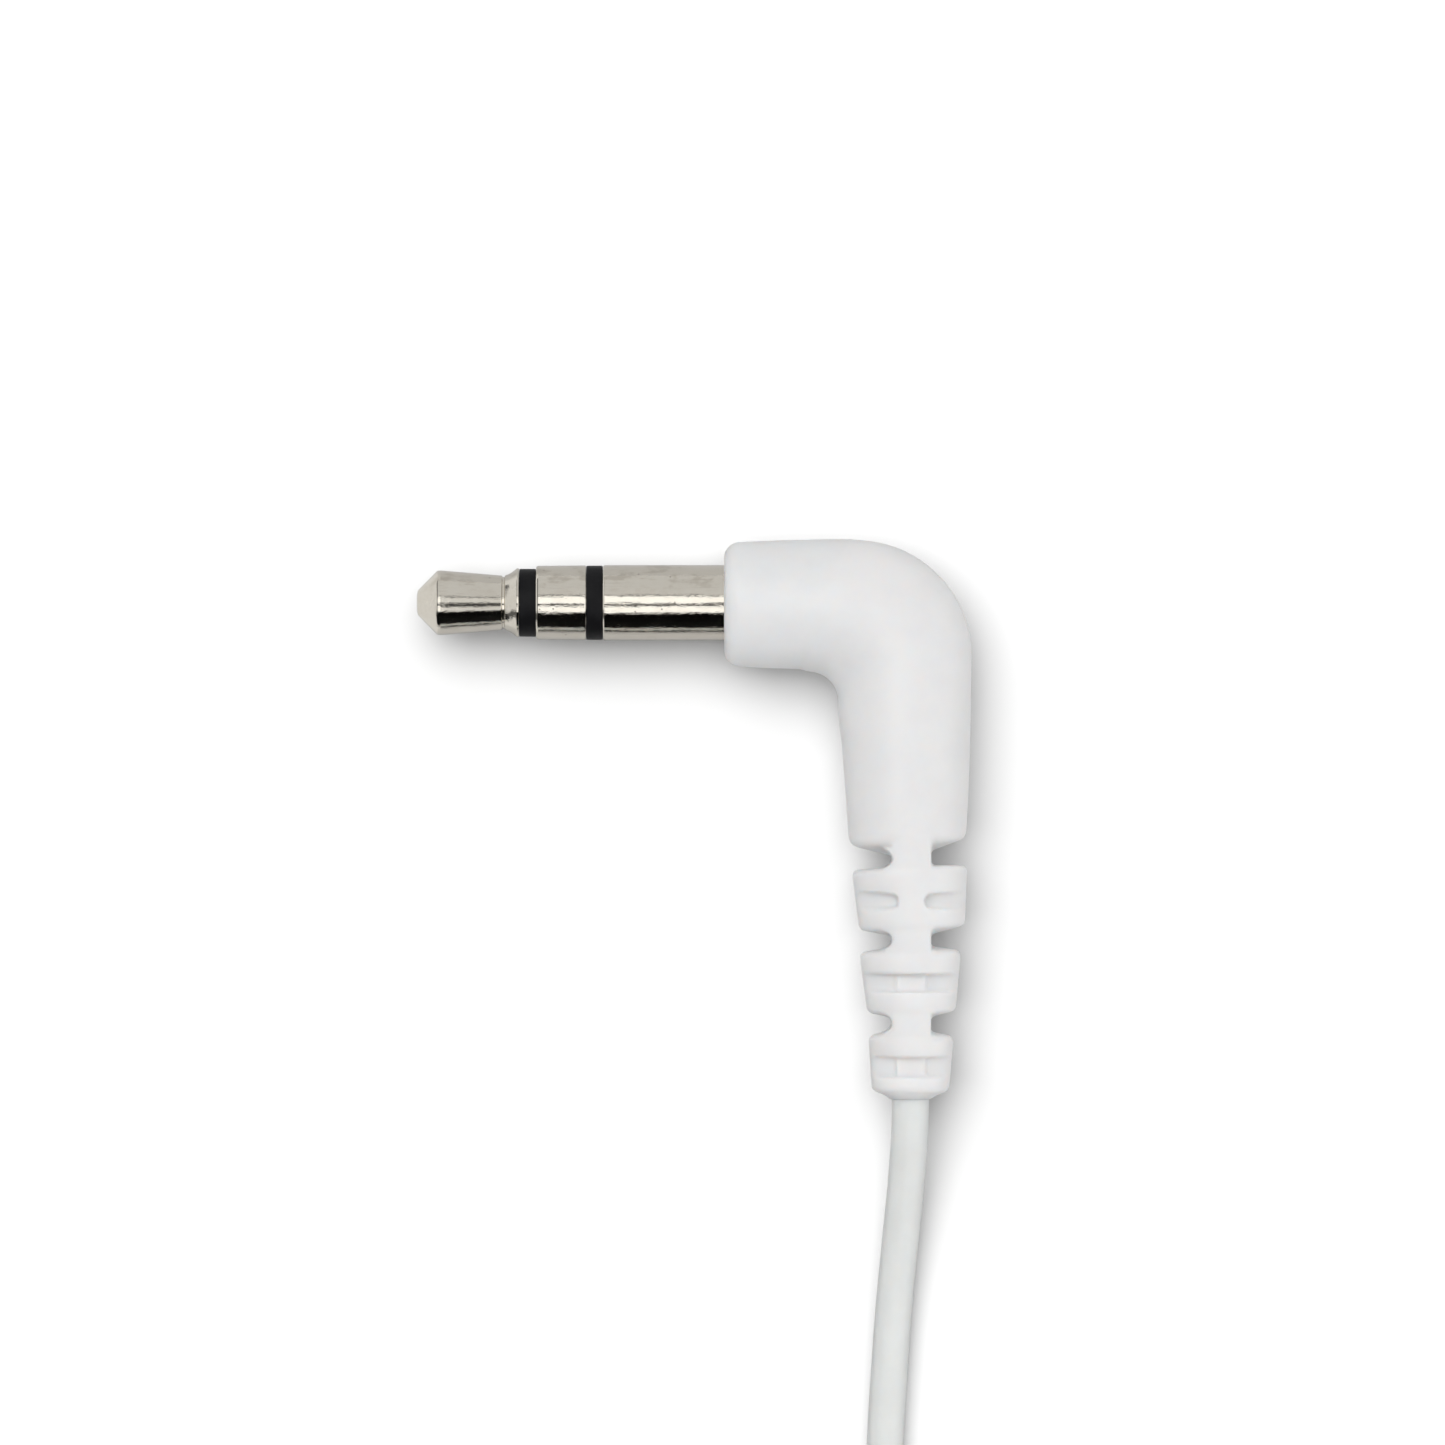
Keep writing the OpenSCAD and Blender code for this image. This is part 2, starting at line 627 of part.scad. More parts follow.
module flat_bead(p, t) intersection() {
    turned(p);
    translate([-2 * split_len, -2 * split_len, -t / 2]) cube([4 * split_len, 4 * split_len, t]);
}

module split_cover() color(WHITE) translate([split_x, row_y, branch_z]) difference() {
    mirror([1, 0, 0]) flat_bead([
        [0, 0], [0, split_w * 0.27], [0.5, split_w * 0.32], [split_len * 0.4, split_w * 0.42],
        [split_len * 0.75, split_w / 2], [split_len - 0.7, split_w / 2],
        [split_len - 0.15, split_w / 2 - 0.4], [split_len, split_w / 2 - 0.8], [split_len, 0]
    ], split_t);
    rod(-cord_grip - fit, through, cord_r + fit);
    for (s = [-1, 1]) translate([0, s * branch_gap / 2, 0])
        rod(-split_len - through, -split_len + cord_grip + fit, branch_r + fit);
    translate([-split_len + cord_grip, -core_half, -cord_r])
        cube([split_len - 2 * cord_grip, 2 * core_half, 2 * cord_r]);
}

module split_core() color("gainsboro")
    translate([split_x - split_len + cord_grip + fit, row_y - core_half + fit, branch_z - cord_r + fit])
        cube([split_len - 2 * cord_grip - 2 * fit, 2 * (core_half - fit), 2 * (cord_r - fit)]);

module cord_slider() color(WHITE) translate([slider_x, row_y, branch_z]) difference() {
    flat_bead([
        [-slider_len / 2, 0], [-slider_len / 2, slider_w / 2 - 0.9],
        [-slider_len / 2 + 0.2, slider_w / 2 - 0.5], [-slider_len / 2 + 0.9, slider_w / 2 - 0.1],
        [0, slider_w / 2], [slider_len / 2 - 0.9, slider_w / 2 - 0.1],
        [slider_len / 2 - 0.2, slider_w / 2 - 0.5], [slider_len / 2, slider_w / 2 - 0.9],
        [slider_len / 2, 0]
    ], split_t);
    for (s = [-1, 1]) translate([0, s * branch_gap / 2, 0])
        rod(-slider_len / 2 - through, slider_len / 2 + through, branch_r + slider_fit);
}

// ---------- branch cords ----------

function on_side(p, side) = side == LEFT ? p : mirrored(p);
module branch_lead(side) color(CORD_WHITE) tube(on_side(BRANCH_LEAD_ROUTE, side), branch_r, cord_sides);
module branch_coil(side) color(CORD_WHITE) tube(on_side(LEFT_COIL, side), branch_r, coil_sides);
module branch_tail(side) color(CORD_WHITE) tube(on_side(BRANCH_TAIL_ROUTE, side), branch_r, cord_sides);
module branch_tie(side) color(WHITE) translate([0, row_y, 0]) mirror([0, side < 0 ? 1 : 0, 0])
    translate([0, -row_y, 0]) tie(LEFT_COIL, branch_coil_c, branch_d, 90);

// ---------- earpieces ----------

module earpiece(side) translate([ear_x, row_y + side * ear_y, floor_z]) children();

module rear_cap() color(WHITE) rotate_extrude() polygon([
    [0, 0], [cap_r - 0.3, 0], [cap_r, 0.3], [cap_r, cap_t], [0, cap_t]
]);

module rear_shell(dot) color(WHITE) difference() {
    union() {
        rotate_extrude() polygon([
            [0, cap_t + fit], [cap_r + fit, cap_t + fit], [cap_r + fit, shell_foot],
            [body_r - shell_round, shell_foot], [body_r - 0.4, shell_foot + 0.3],
            [body_r - 0.1, shell_foot + 0.75], [body_r, shell_foot + shell_round],
            [body_r, rear_h], [inner_r + lip + fit, rear_h], [inner_r + lip + fit, rear_h - lip_h],
            [inner_r, rear_h - lip_h], [inner_r, shell_floor], [0, shell_floor]
        ]);
        translate([0, 0, port_z]) rod(inner_r + 0.2, boss_reach, boss_r);
        if (dot) translate([boss_reach - 1, 0, port_z + boss_r - 0.1]) sphere(0.35);
    }
    translate([0, 0, port_z]) rod(inner_r - through, boss_reach + through, port_r + fit);
    translate([0, 0, rear_h / 2 + 1]) rod(-body_r - through, -inner_r + through, vent_r);
}

// A point of the dome at a share of its way out from the nozzle and a share of its height
function dome_point(out, up) = [nozzle_r + out * (body_r - nozzle_r), step_z + up * dome_h];

module front_shell() color(WHITE) difference() {
    rotate_extrude() polygon([
        [inner_r, rear_h - lip_h + fit], [inner_r + lip, rear_h - lip_h + fit],
        [inner_r + lip, rear_h + fit], [body_r - 0.12, rear_h + fit], [body_r, rear_h + 0.14],
        [body_r, rear_h + 0.6], dome_point(0.944, 0.158), dome_point(0.764, 0.421),
        dome_point(0.5, 0.658), dome_point(0.25, 0.868),
        [nozzle_r + 0.3, dome_top - 0.25], [nozzle_r, dome_top + 0.2],
        [nozzle_r, nozzle_top - 1.7], [nozzle_r + barb, nozzle_top - 1.4],
        [nozzle_r + barb, nozzle_top - 0.9], [nozzle_r, nozzle_top - 0.5], [nozzle_r, nozzle_top],
        [mesh_r + fit, nozzle_top], [mesh_r + fit, nozzle_top - mesh_t - fit],
        [bore_r, nozzle_top - mesh_t - fit], [bore_r, dome_top - 0.6],
        dome_point(0.083, 0.632), dome_point(0.5, 0.368),
        [inner_r - 0.35, step_z + 0.2], [inner_r - 0.35, step_z],
        [inner_r, step_z]
    ]);
}

module relief() color(WHITE) translate([0, 0, port_z]) difference() {
    turned([
        [inner_r - 0.6, 0], [inner_r - 0.6, port_r], [boss_reach + fit, port_r],
        [boss_reach + fit, boss_r - 0.1],
        [boss_reach + 0.8, boss_r - 0.1], [boot_end - 0.3, branch_r + 0.4],
        [boot_end, branch_r + 0.25], [boot_end, 0]
    ]);
    for (i = [0 : 2]) translate([boss_reach + 1.1 + i * (boot_len - 1.4) / 3, 0, 0])
        pipe(0, 0.45, branch_r + 0.45, boss_r);
    rod(0, boot_end + through, branch_r + fit);
}

module terminal_board() color("seagreen") translate([0, 0, board_z]) cylinder(h = board_t, r = board_r);

module leads() color(COPPER) for (s = [-1, 1]) translate([0, s * 0.27, port_z]) {
    bend = board_z - port_z;
    rod(lead_x + bend, cord_stop, lead_r);
    translate([lead_x + bend, 0, bend]) rotate([90, 0, 0]) rotate([0, 0, 180])
        rotate_extrude(angle = 90) translate([bend, 0]) circle(lead_r);
}

module yoke() color("silver") translate([0, 0, yoke_z]) difference() {
    cylinder(h = yoke_top - yoke_z, r = yoke_r);
    translate([0, 0, yoke_floor]) cylinder(h = yoke_top, r = yoke_r - yoke_wall);
}

module magnet() color("dimgray") translate([0, 0, magnet_z]) cylinder(h = magnet_h, r = magnet_d / 2);

module top_plate() color("silver") translate([0, 0, plate_z]) cylinder(h = yoke_floor, r = plate_d / 2);

module driver_frame() color("darkslategray") difference() {
    translate([0, 0, frame_z]) cylinder(h = frame_top - frame_z, r = frame_r);
    translate([0, 0, frame_z - through]) cylinder(h = frame_top, r = yoke_r + fit);
    translate([0, 0, frame_z + frame_t]) cylinder(h = frame_top, r = frame_r - frame_wall);
    translate([0, 0, shelf_top]) cylinder(h = frame_top, r = rim_r + 0.06);
    for (a = [30 : 60 : 330]) rotate([0, 0, a])
        translate([(yoke_r + frame_r - frame_wall) / 2, 0, frame_z - through])
            cylinder(h = frame_t + 2 * through, r = (frame_r - frame_wall - yoke_r) / 3);
}

module voice_coil() color(COPPER) translate([0, 0, coil_low]) difference() {
    cylinder(h = film_low - fit - coil_low, r = coil_out);
    translate([0, 0, -through]) cylinder(h = film_low, r = coil_in);
}

module diaphragm() color("lightsteelblue") rotate_extrude() {
    half = [
        [0, rim_z + 0.45], [0.8, rim_z + 0.41], [1.5, rim_z + 0.25], [2.05, rim_z - 0.05],
        [coil_in - 0.05, film_low], [coil_out + 0.05, film_low], [coil_out + 0.4, rim_z + 0.05],
        [coil_out + 0.75, rim_z + 0.12], [coil_out + 1.1, rim_z], [rim_r, rim_z]
    ];
    polygon(concat(half, [for (i = [len(half) - 1 : -1 : 0]) half[i] + [0, film_t]]));
}

module driver_grille() color("silver") difference() {
    rotate_extrude() polygon([
        [0, grille_z + grille_rise - grille_t],
        [grille_dome_r - 2 * grille_skew, grille_z + grille_rise - grille_t],
        [grille_dome_r, grille_z], [frame_r, grille_z], [frame_r, grille_z + grille_t],
        [grille_dome_r + grille_skew, grille_z + grille_t],
        [grille_dome_r - grille_skew, grille_z + grille_rise], [0, grille_z + grille_rise]
    ]);
    for (a = [0 : 60 : 300]) rotate([0, 0, a]) translate([grille_dome_r * 0.57, 0, grille_z])
        cylinder(h = grille_rise + through, r = grille_hole_r);
    translate([0, 0, grille_z]) cylinder(h = grille_rise + through, r = grille_hole_r);
}

module nozzle_damper() color("gray") translate([0, 0, dome_top + 0.4]) cylinder(h = 1, r = bore_r - fit);

module nozzle_mesh() color("silver") translate([0, 0, nozzle_top - mesh_t]) difference() {
    cylinder(h = mesh_t, r = mesh_r);
    for (ring = [0 : 3], k = [0 : max(0, 6 * ring - 1)]) rotate([0, 0, 60 * k / max(1, ring)])
        translate([0.42 * ring, 0, -through]) cylinder(h = 2 * through, r = 0.13);
}

function below_top(share) = tip_top - share * tip_h;

module ear_tip() color([0.93, 0.93, 0.94]) rotate_extrude() polygon([
    [tip_bore, tip_seat - tip_grip], [tip_tube, tip_seat - tip_grip], [tip_tube, below_top(0.23)],
    [tip_r * 0.62, below_top(0.25)], [tip_r * 0.75, below_top(0.37)], [tip_r * 0.87, below_top(0.61)],
    [tip_r - tip_skin, below_top(0.86)], [tip_r - 0.05 - tip_skin, below_top(1)],
    [tip_r - 0.1, below_top(1)], [tip_r, below_top(0.88)], [tip_r * 0.96, below_top(0.61)],
    [tip_r * 0.86, below_top(0.33)], [tip_r * 0.7, below_top(0.14)], [tip_r * 0.52, below_top(0.026)],
    [tip_r * 0.42, tip_top], [bore_r + 0.4, tip_top], [bore_r + 0.2, tip_top - 0.2],
    [bore_r + 0.2, tip_seat], [tip_bore, tip_seat]
]);

// ---------- assembly ----------

tip_contact();
tip_insulator();
ring_contact();
ring_insulator();
sleeve_contact();
plug_inner_mould();
plug_conductors();
plug_solder();
plug_housing();
cord_lead();
cord_coil();
cord_tail();
cord_tie();
split_cover();
split_core();
cord_slider();
branch_lead(LEFT);  // left_cord_lead
branch_coil(LEFT);  // left_cord_coil
branch_tail(LEFT);  // left_cord_tail
branch_tie(LEFT);  // left_cord_tie
earpiece(LEFT) relief();  // left_relief
earpiece(LEFT) rear_cap();  // left_rear_cap
earpiece(LEFT) rear_shell(true);  // left_rear_shell
earpiece(LEFT) front_shell();  // left_front_shell
earpiece(LEFT) terminal_board();  // left_terminal_board
earpiece(LEFT) leads();  // left_leads
earpiece(LEFT) yoke();  // left_yoke
earpiece(LEFT) magnet();  // left_magnet
earpiece(LEFT) top_plate();  // left_top_plate
earpiece(LEFT) driver_frame();  // left_driver_frame
earpiece(LEFT) voice_coil();  // left_voice_coil
earpiece(LEFT) diaphragm();  // left_diaphragm
earpiece(LEFT) driver_grille();  // left_driver_grille
earpiece(LEFT) nozzle_damper();  // left_nozzle_damper
earpiece(LEFT) nozzle_mesh();  // left_nozzle_mesh
earpiece(LEFT) ear_tip();  // left_ear_tip
branch_lead(RIGHT);  // right_cord_lead
branch_coil(RIGHT);  // right_cord_coil
branch_tail(RIGHT);  // right_cord_tail
branch_tie(RIGHT);  // right_cord_tie
earpiece(RIGHT) relief();  // right_relief
earpiece(RIGHT) rear_cap();  // right_rear_cap
earpiece(RIGHT) rear_shell(false);  // right_rear_shell
earpiece(RIGHT) front_shell();  // right_front_shell
earpiece(RIGHT) terminal_board();  // right_terminal_board
earpiece(RIGHT) leads();  // right_leads
earpiece(RIGHT) yoke();  // right_yoke
earpiece(RIGHT) magnet();  // right_magnet
earpiece(RIGHT) top_plate();  // right_top_plate
earpiece(RIGHT) driver_frame();  // right_driver_frame
earpiece(RIGHT) voice_coil();  // right_voice_coil
earpiece(RIGHT) diaphragm();  // right_diaphragm
earpiece(RIGHT) driver_grille();  // right_driver_grille
earpiece(RIGHT) nozzle_damper();  // right_nozzle_damper
earpiece(RIGHT) nozzle_mesh();  // right_nozzle_mesh
earpiece(RIGHT) ear_tip();  // right_ear_tip
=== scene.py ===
"""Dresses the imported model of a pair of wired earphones, as they lie on a pale table.

Everything is modelled in millimetres in the model's frame and then brought to metres: the
origin is the centre of the plug's shoulder, the plug points along -X, its cord leaves along
-Y and the set lies on the plane z = FLOOR_Z.
"""

import json
import logging
import math
from dataclasses import dataclass, field
from enum import Enum
from typing import Any, Iterable, Sequence

import bmesh
import bpy
from mathutils import Matrix, Vector

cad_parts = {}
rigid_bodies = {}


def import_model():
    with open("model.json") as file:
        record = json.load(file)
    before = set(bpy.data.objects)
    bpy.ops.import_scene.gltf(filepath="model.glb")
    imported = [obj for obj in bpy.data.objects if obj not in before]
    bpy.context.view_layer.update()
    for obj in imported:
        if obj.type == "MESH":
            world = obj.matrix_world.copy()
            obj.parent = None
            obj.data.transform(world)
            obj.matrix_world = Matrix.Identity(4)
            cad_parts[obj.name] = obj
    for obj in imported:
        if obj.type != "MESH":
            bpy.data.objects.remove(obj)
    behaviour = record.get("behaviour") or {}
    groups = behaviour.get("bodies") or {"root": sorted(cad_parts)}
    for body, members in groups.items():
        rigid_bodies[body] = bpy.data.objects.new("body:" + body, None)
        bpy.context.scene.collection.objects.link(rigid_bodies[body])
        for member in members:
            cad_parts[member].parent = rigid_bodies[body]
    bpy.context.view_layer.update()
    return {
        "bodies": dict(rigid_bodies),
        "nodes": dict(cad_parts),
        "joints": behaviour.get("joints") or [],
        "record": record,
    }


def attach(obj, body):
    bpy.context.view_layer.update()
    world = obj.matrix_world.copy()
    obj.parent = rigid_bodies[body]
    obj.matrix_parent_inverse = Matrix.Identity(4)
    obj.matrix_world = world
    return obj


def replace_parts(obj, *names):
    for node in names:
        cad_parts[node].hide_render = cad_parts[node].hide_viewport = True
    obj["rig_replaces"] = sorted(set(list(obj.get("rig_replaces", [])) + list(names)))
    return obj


LOG = logging.getLogger("earphones")
MM = 0.001
FLOOR_Z = -3.02
ROW_Y = -70.0

Point = tuple[float, float, float]
Colour = tuple[float, float, float]
Corner = tuple[float, ...]
Profile = list[tuple[float, float]]


class Along(Enum):
    """Frame in which a turned piece is made: its axis becomes this direction."""

    X = ((0, 0, 1), (1, 0, 0), (0, 1, 0))
    MINUS_Y = ((1, 0, 0), (0, 0, -1), (0, 1, 0))
    Z = ((1, 0, 0), (0, 1, 0), (0, 0, 1))

    def at(self, x: float = 0.0, y: float = 0.0, z: float = 0.0) -> Matrix:
        """Gives the matrix that turns local Z into this direction and moves to a point."""
        return Matrix.Translation((x, y, z)) @ Matrix(self.value).to_4x4()


class Side(Enum):
    """Ear that an earpiece is for; the value is its side of the row's middle."""

    LEFT = 1
    RIGHT = -1

    @property
    def label(self) -> str:
        """The word that the node names start with."""
        return self.name.lower()

    def mirrored(self, points: Iterable[Point]) -> list[Point]:
        """Moves points of the left side to this side."""
        return [(x, y if self is Side.LEFT else 2 * ROW_Y - y, z) for x, y, z in points]


def softened(corners: Sequence[Corner], steps: int = 5, closed: bool = False) -> Profile:
    """Rounds the corners of a profile.

    Args:
        corners: Points (along, radius) or (along, radius, rounding), in mm.
        steps: Number of segments in each rounding.
        closed: Whether the last corner joins the first.

    Returns:
        The points of the rounded profile.
    """
    result: Profile = []
    count = len(corners)
    for index, corner in enumerate(corners):
        here = Vector(corner[:2])
        rounding = corner[2] if len(corner) > 2 else 0.0
        if rounding == 0 or (not closed and index in (0, count - 1)):
            result.append((here.x, here.y))
            continue
        before = Vector(corners[index - 1][:2]) - here
        after = Vector(corners[(index + 1) % count][:2]) - here
        turn = math.pi - before.angle(after)
        reach = min(rounding * math.tan(turn / 2), before.length * 0.48, after.length * 0.48)
        start, end = here + before.normalized() * reach, here + after.normalized() * reach
        for step in range(steps + 1):
            t = step / steps
            spot = start * (1 - t) ** 2 + here * 2 * t * (1 - t) + end * t * t
            result.append((spot.x, spot.y))
    return result


class Bench:
    """Modelling tools: each method makes or shapes one mesh, in millimetres."""

    TINY = 1e-3

    @staticmethod
    def _edit(piece: bpy.types.Object) -> None:
        """Selects one piece alone and opens it in edit mode with everything selected.

        Args:
            piece: The piece to edit.
        """
        Bench.choose(piece)
        bpy.ops.object.mode_set(mode="EDIT")
        bpy.ops.mesh.select_all(action="SELECT")

    @staticmethod
    def choose(*pieces: bpy.types.Object) -> None:
        """Selects these pieces alone, the first one active.

        Args:
            *pieces: The pieces to select.
        """
        bpy.ops.object.select_all(action="DESELECT")
        for piece in pieces:
            piece.select_set(True)
        bpy.context.view_layer.objects.active = pieces[0]

    @staticmethod
    def _close(name: str, place: Matrix) -> bpy.types.Object:
        """Merges doubles, turns faces outwards, leaves edit mode and applies the place.

        Args:
            name: Name for the piece in edit mode.
            place: Where the piece goes.

        Returns:
            The piece, in object mode.
        """
        bpy.ops.mesh.select_all(action="SELECT")
        bpy.ops.mesh.remove_doubles(threshold=Bench.TINY)
        bpy.ops.mesh.normals_make_consistent(inside=False)
        bpy.ops.object.mode_set(mode="OBJECT")
        piece = bpy.context.object
        piece.name = piece.data.name = name
        return Bench.placed(piece, place)

    @staticmethod
    def placed(piece: bpy.types.Object, place: Matrix) -> bpy.types.Object:
        """Moves a piece by a matrix and applies it, so that the place is in its mesh.

        Args:
            piece: The piece to move.
            place: The matrix that moves it.

        Returns:
            The same piece.
        """
        Bench.choose(piece)
        piece.matrix_world = place @ piece.matrix_world
        bpy.ops.object.transform_apply(location=True, rotation=True, scale=True)
        return piece

    @staticmethod
    def turned(name: str, profile: Sequence[tuple[float, float]], place: Matrix, sides: int = 96,
               tube: bool = False) -> bpy.types.Object:
        """Turns a profile round local Z, by extruding a ring from point to point.

        Args:
            name: Name of the piece.
            profile: Points (along, radius) in mm.
            place: Where the turned piece goes.
            sides: Number of sides of the ring.
            tube: Whether the profile is a closed loop round an open bore.

        Returns:
            The new piece.
        """
        points = list(profile) + ([profile[0]] if tube else [])
        bpy.ops.object.select_all(action="DESELECT")
        last_along, last_r = points[0][0], max(points[0][1], Bench.TINY)
        bpy.ops.mesh.primitive_circle_add(
            vertices=sides, radius=last_r, fill_type="NOTHING" if tube else "NGON",
            enter_editmode=True, align="WORLD", location=(0, 0, 0))
        bpy.ops.mesh.select_all(action="SELECT")
        bpy.ops.transform.translate(value=(0, 0, last_along))
        for along, radius in points[1:]:
            radius = max(radius, Bench.TINY)
            bpy.ops.mesh.extrude_region_move(
                TRANSFORM_OT_translate={"value": (0, 0, along - last_along)})
            bpy.ops.transform.resize(value=(radius / last_r, radius / last_r, 1),
                                     center_override=(0, 0, along))
            last_along, last_r = along, radius
        return Bench._close(name, place)

    @staticmethod
    def loft(name: str, sections: Sequence[tuple[Vector, Vector, float]],
             sides: int = 96) -> bpy.types.Object:
        """Sweeps an oval through sections that stand upright on the XY plane.

        Args:
            name: Name of the piece.
            sections: For each section its inner and its outer point in the plane, and
                its half height.
            sides: Number of sides of the oval.

        Returns:
            The new piece.
        """
        bpy.ops.object.select_all(action="DESELECT")
        bpy.ops.mesh.primitive_circle_add(
            vertices=sides, radius=1, fill_type="NGON", enter_editmode=True, align="WORLD",
            location=(0, 0, 0), rotation=(0, math.pi / 2, 0))
        bpy.ops.mesh.select_all(action="SELECT")
        half, height, lean, middle = 1.0, 1.0, 0.0, Vector((0, 0))
        for index, (inner, outer, new_height) in enumerate(sections):
            if index:
                bpy.ops.mesh.extrude_region_move(TRANSFORM_OT_translate={"value": (0, 0, 0)})
            span, centre = (outer - inner) / 2, (outer + inner) / 2
            new_lean = math.atan2(span.x, span.y)
            here = (middle.x, middle.y, 0)
            Bench._turn_clockwise(-lean, here)
            bpy.ops.transform.resize(
                value=(1, span.length / half, new_height / height), center_override=here)
            Bench._turn_clockwise(new_lean, here)
            bpy.ops.transform.translate(
                value=(centre.x - middle.x, centre.y - middle.y, 0))
            half, height, lean, middle = span.length, new_height, new_lean, centre
        return Bench._close(name, Matrix())

    @staticmethod
    def _turn_clockwise(angle: float, centre: Point) -> None:
        """Turns the selection about Z; with no window the operator turns clockwise."""
        bpy.ops.transform.rotate(value=angle, orient_axis="Z", center_override=centre)

    @staticmethod
    def block(name: str, low: Point, high: Point, rounding: float = 0.0,
              place: Matrix | None = None) -> bpy.types.Object:
        """Makes a block between two corners, its edges bevelled by a rounding.

        Args:
            name: Name of the piece.
            low: Its lowest corner in mm.
            high: Its highest corner in mm.
            rounding: Width of the bevel in mm, or 0 for sharp edges.
            place: Where the block goes, if not where its corners say.

        Returns:
            The new piece.
        """
        bpy.ops.object.select_all(action="DESELECT")
        middle = [(a + b) / 2 for a, b in zip(low, high)]
        bpy.ops.mesh.primitive_cube_add(size=1, enter_editmode=True, location=(0, 0, 0))
        bpy.ops.mesh.select_all(action="SELECT")
        bpy.ops.transform.resize(value=[b - a for a, b in zip(low, high)],
                                 center_override=(0, 0, 0))
        bpy.ops.transform.translate(value=middle)
        if rounding:
            bpy.ops.mesh.bevel(offset=rounding, segments=4, affect="EDGES")
        return Bench._close(name, place or Matrix())

    @staticmethod
    def joined(name: str, *pieces: bpy.types.Object) -> bpy.types.Object:
        """Joins overlapping solids in one mesh, for a remesh that fuses them.

        Args:
            name: Name of the joined piece.
            *pieces: The solids, of which the first takes in the others.

        Returns:
            The joined piece.
        """
        Bench.choose(*pieces)
        bpy.ops.object.join()
        pieces[0].name = pieces[0].data.name = name
        return pieces[0]

    @staticmethod
    def modified(piece: bpy.types.Object, kind: str, **settings: Any) -> bpy.types.Object:
        """Adds a modifier with these settings and applies it.

        Args:
            piece: The piece to modify.
            kind: Type of the modifier.
            **settings: Its properties.

        Returns:
            The same piece.
        """
        Bench.choose(piece)
        modifier = piece.modifiers.new(kind.lower(), kind)
        for key, value in settings.items():
            setattr(modifier, key, value)
        bpy.ops.object.modifier_apply(modifier=modifier.name)
        return piece

    @staticmethod
    def combined(piece: bpy.types.Object, tool: bpy.types.Object,
                 operation: str = "DIFFERENCE", self_crossing: bool = False) -> bpy.types.Object:
        """Cuts a piece with a tool, or unites or intersects them, and drops the tool.

        Args:
            piece: The piece that stays.
            tool: The piece that is used up.
            operation: DIFFERENCE, UNION or INTERSECT.
            self_crossing: Whether one of the two crosses itself.

        Returns:
            The piece that stays.
        """
        Bench.modified(piece, "BOOLEAN", object=tool, operation=operation, solver="EXACT",
                       use_self=self_crossing)
        bpy.data.meshes.remove(tool.data)
        return piece

    @staticmethod
    def moulded(piece: bpy.types.Object, voxel: float, rounds: int) -> bpy.types.Object:
        """Fuses a piece's solids in one skin of small faces and rounds its edges."""
        Bench.modified(piece, "REMESH", mode="VOXEL", voxel_size=voxel, use_smooth_shade=True)
        return Bench.modified(piece, "SMOOTH", factor=0.5, iterations=rounds)

    @staticmethod
    def copied(piece: bpy.types.Object, name: str, place: Matrix) -> bpy.types.Object:
        """Makes a copy with its own mesh at another place.

        Args:
            piece: The piece to copy.
            name: Name of the copy.
            place: Where the copy goes. A mirror's faces are turned outwards again.

        Returns:
            The copy.
        """
        twin = piece.copy()
        twin.data = piece.data.copy()
        twin.name = twin.data.name = name
        bpy.context.collection.objects.link(twin)
        Bench.placed(twin, place)
        if place.determinant() < 0:
            Bench._edit(twin)
            bpy.ops.mesh.normals_make_consistent(inside=False)
            bpy.ops.object.mode_set(mode="OBJECT")
        return twin

    @staticmethod
    def finished(piece: bpy.types.Object, crease: float = 32.0) -> bpy.types.Object:
        """Brings a piece from millimetres to metres and smooths all but its hard edges.

        Args:
            piece: The piece, in millimetres.
            crease: Angle in degrees from which an edge stays hard.

        Returns:
            The same piece, in metres.
        """
        Bench.placed(piece, Matrix.Scale(MM, 4))
        bpy.ops.object.shade_smooth_by_angle(angle=math.radians(crease))
        return piece


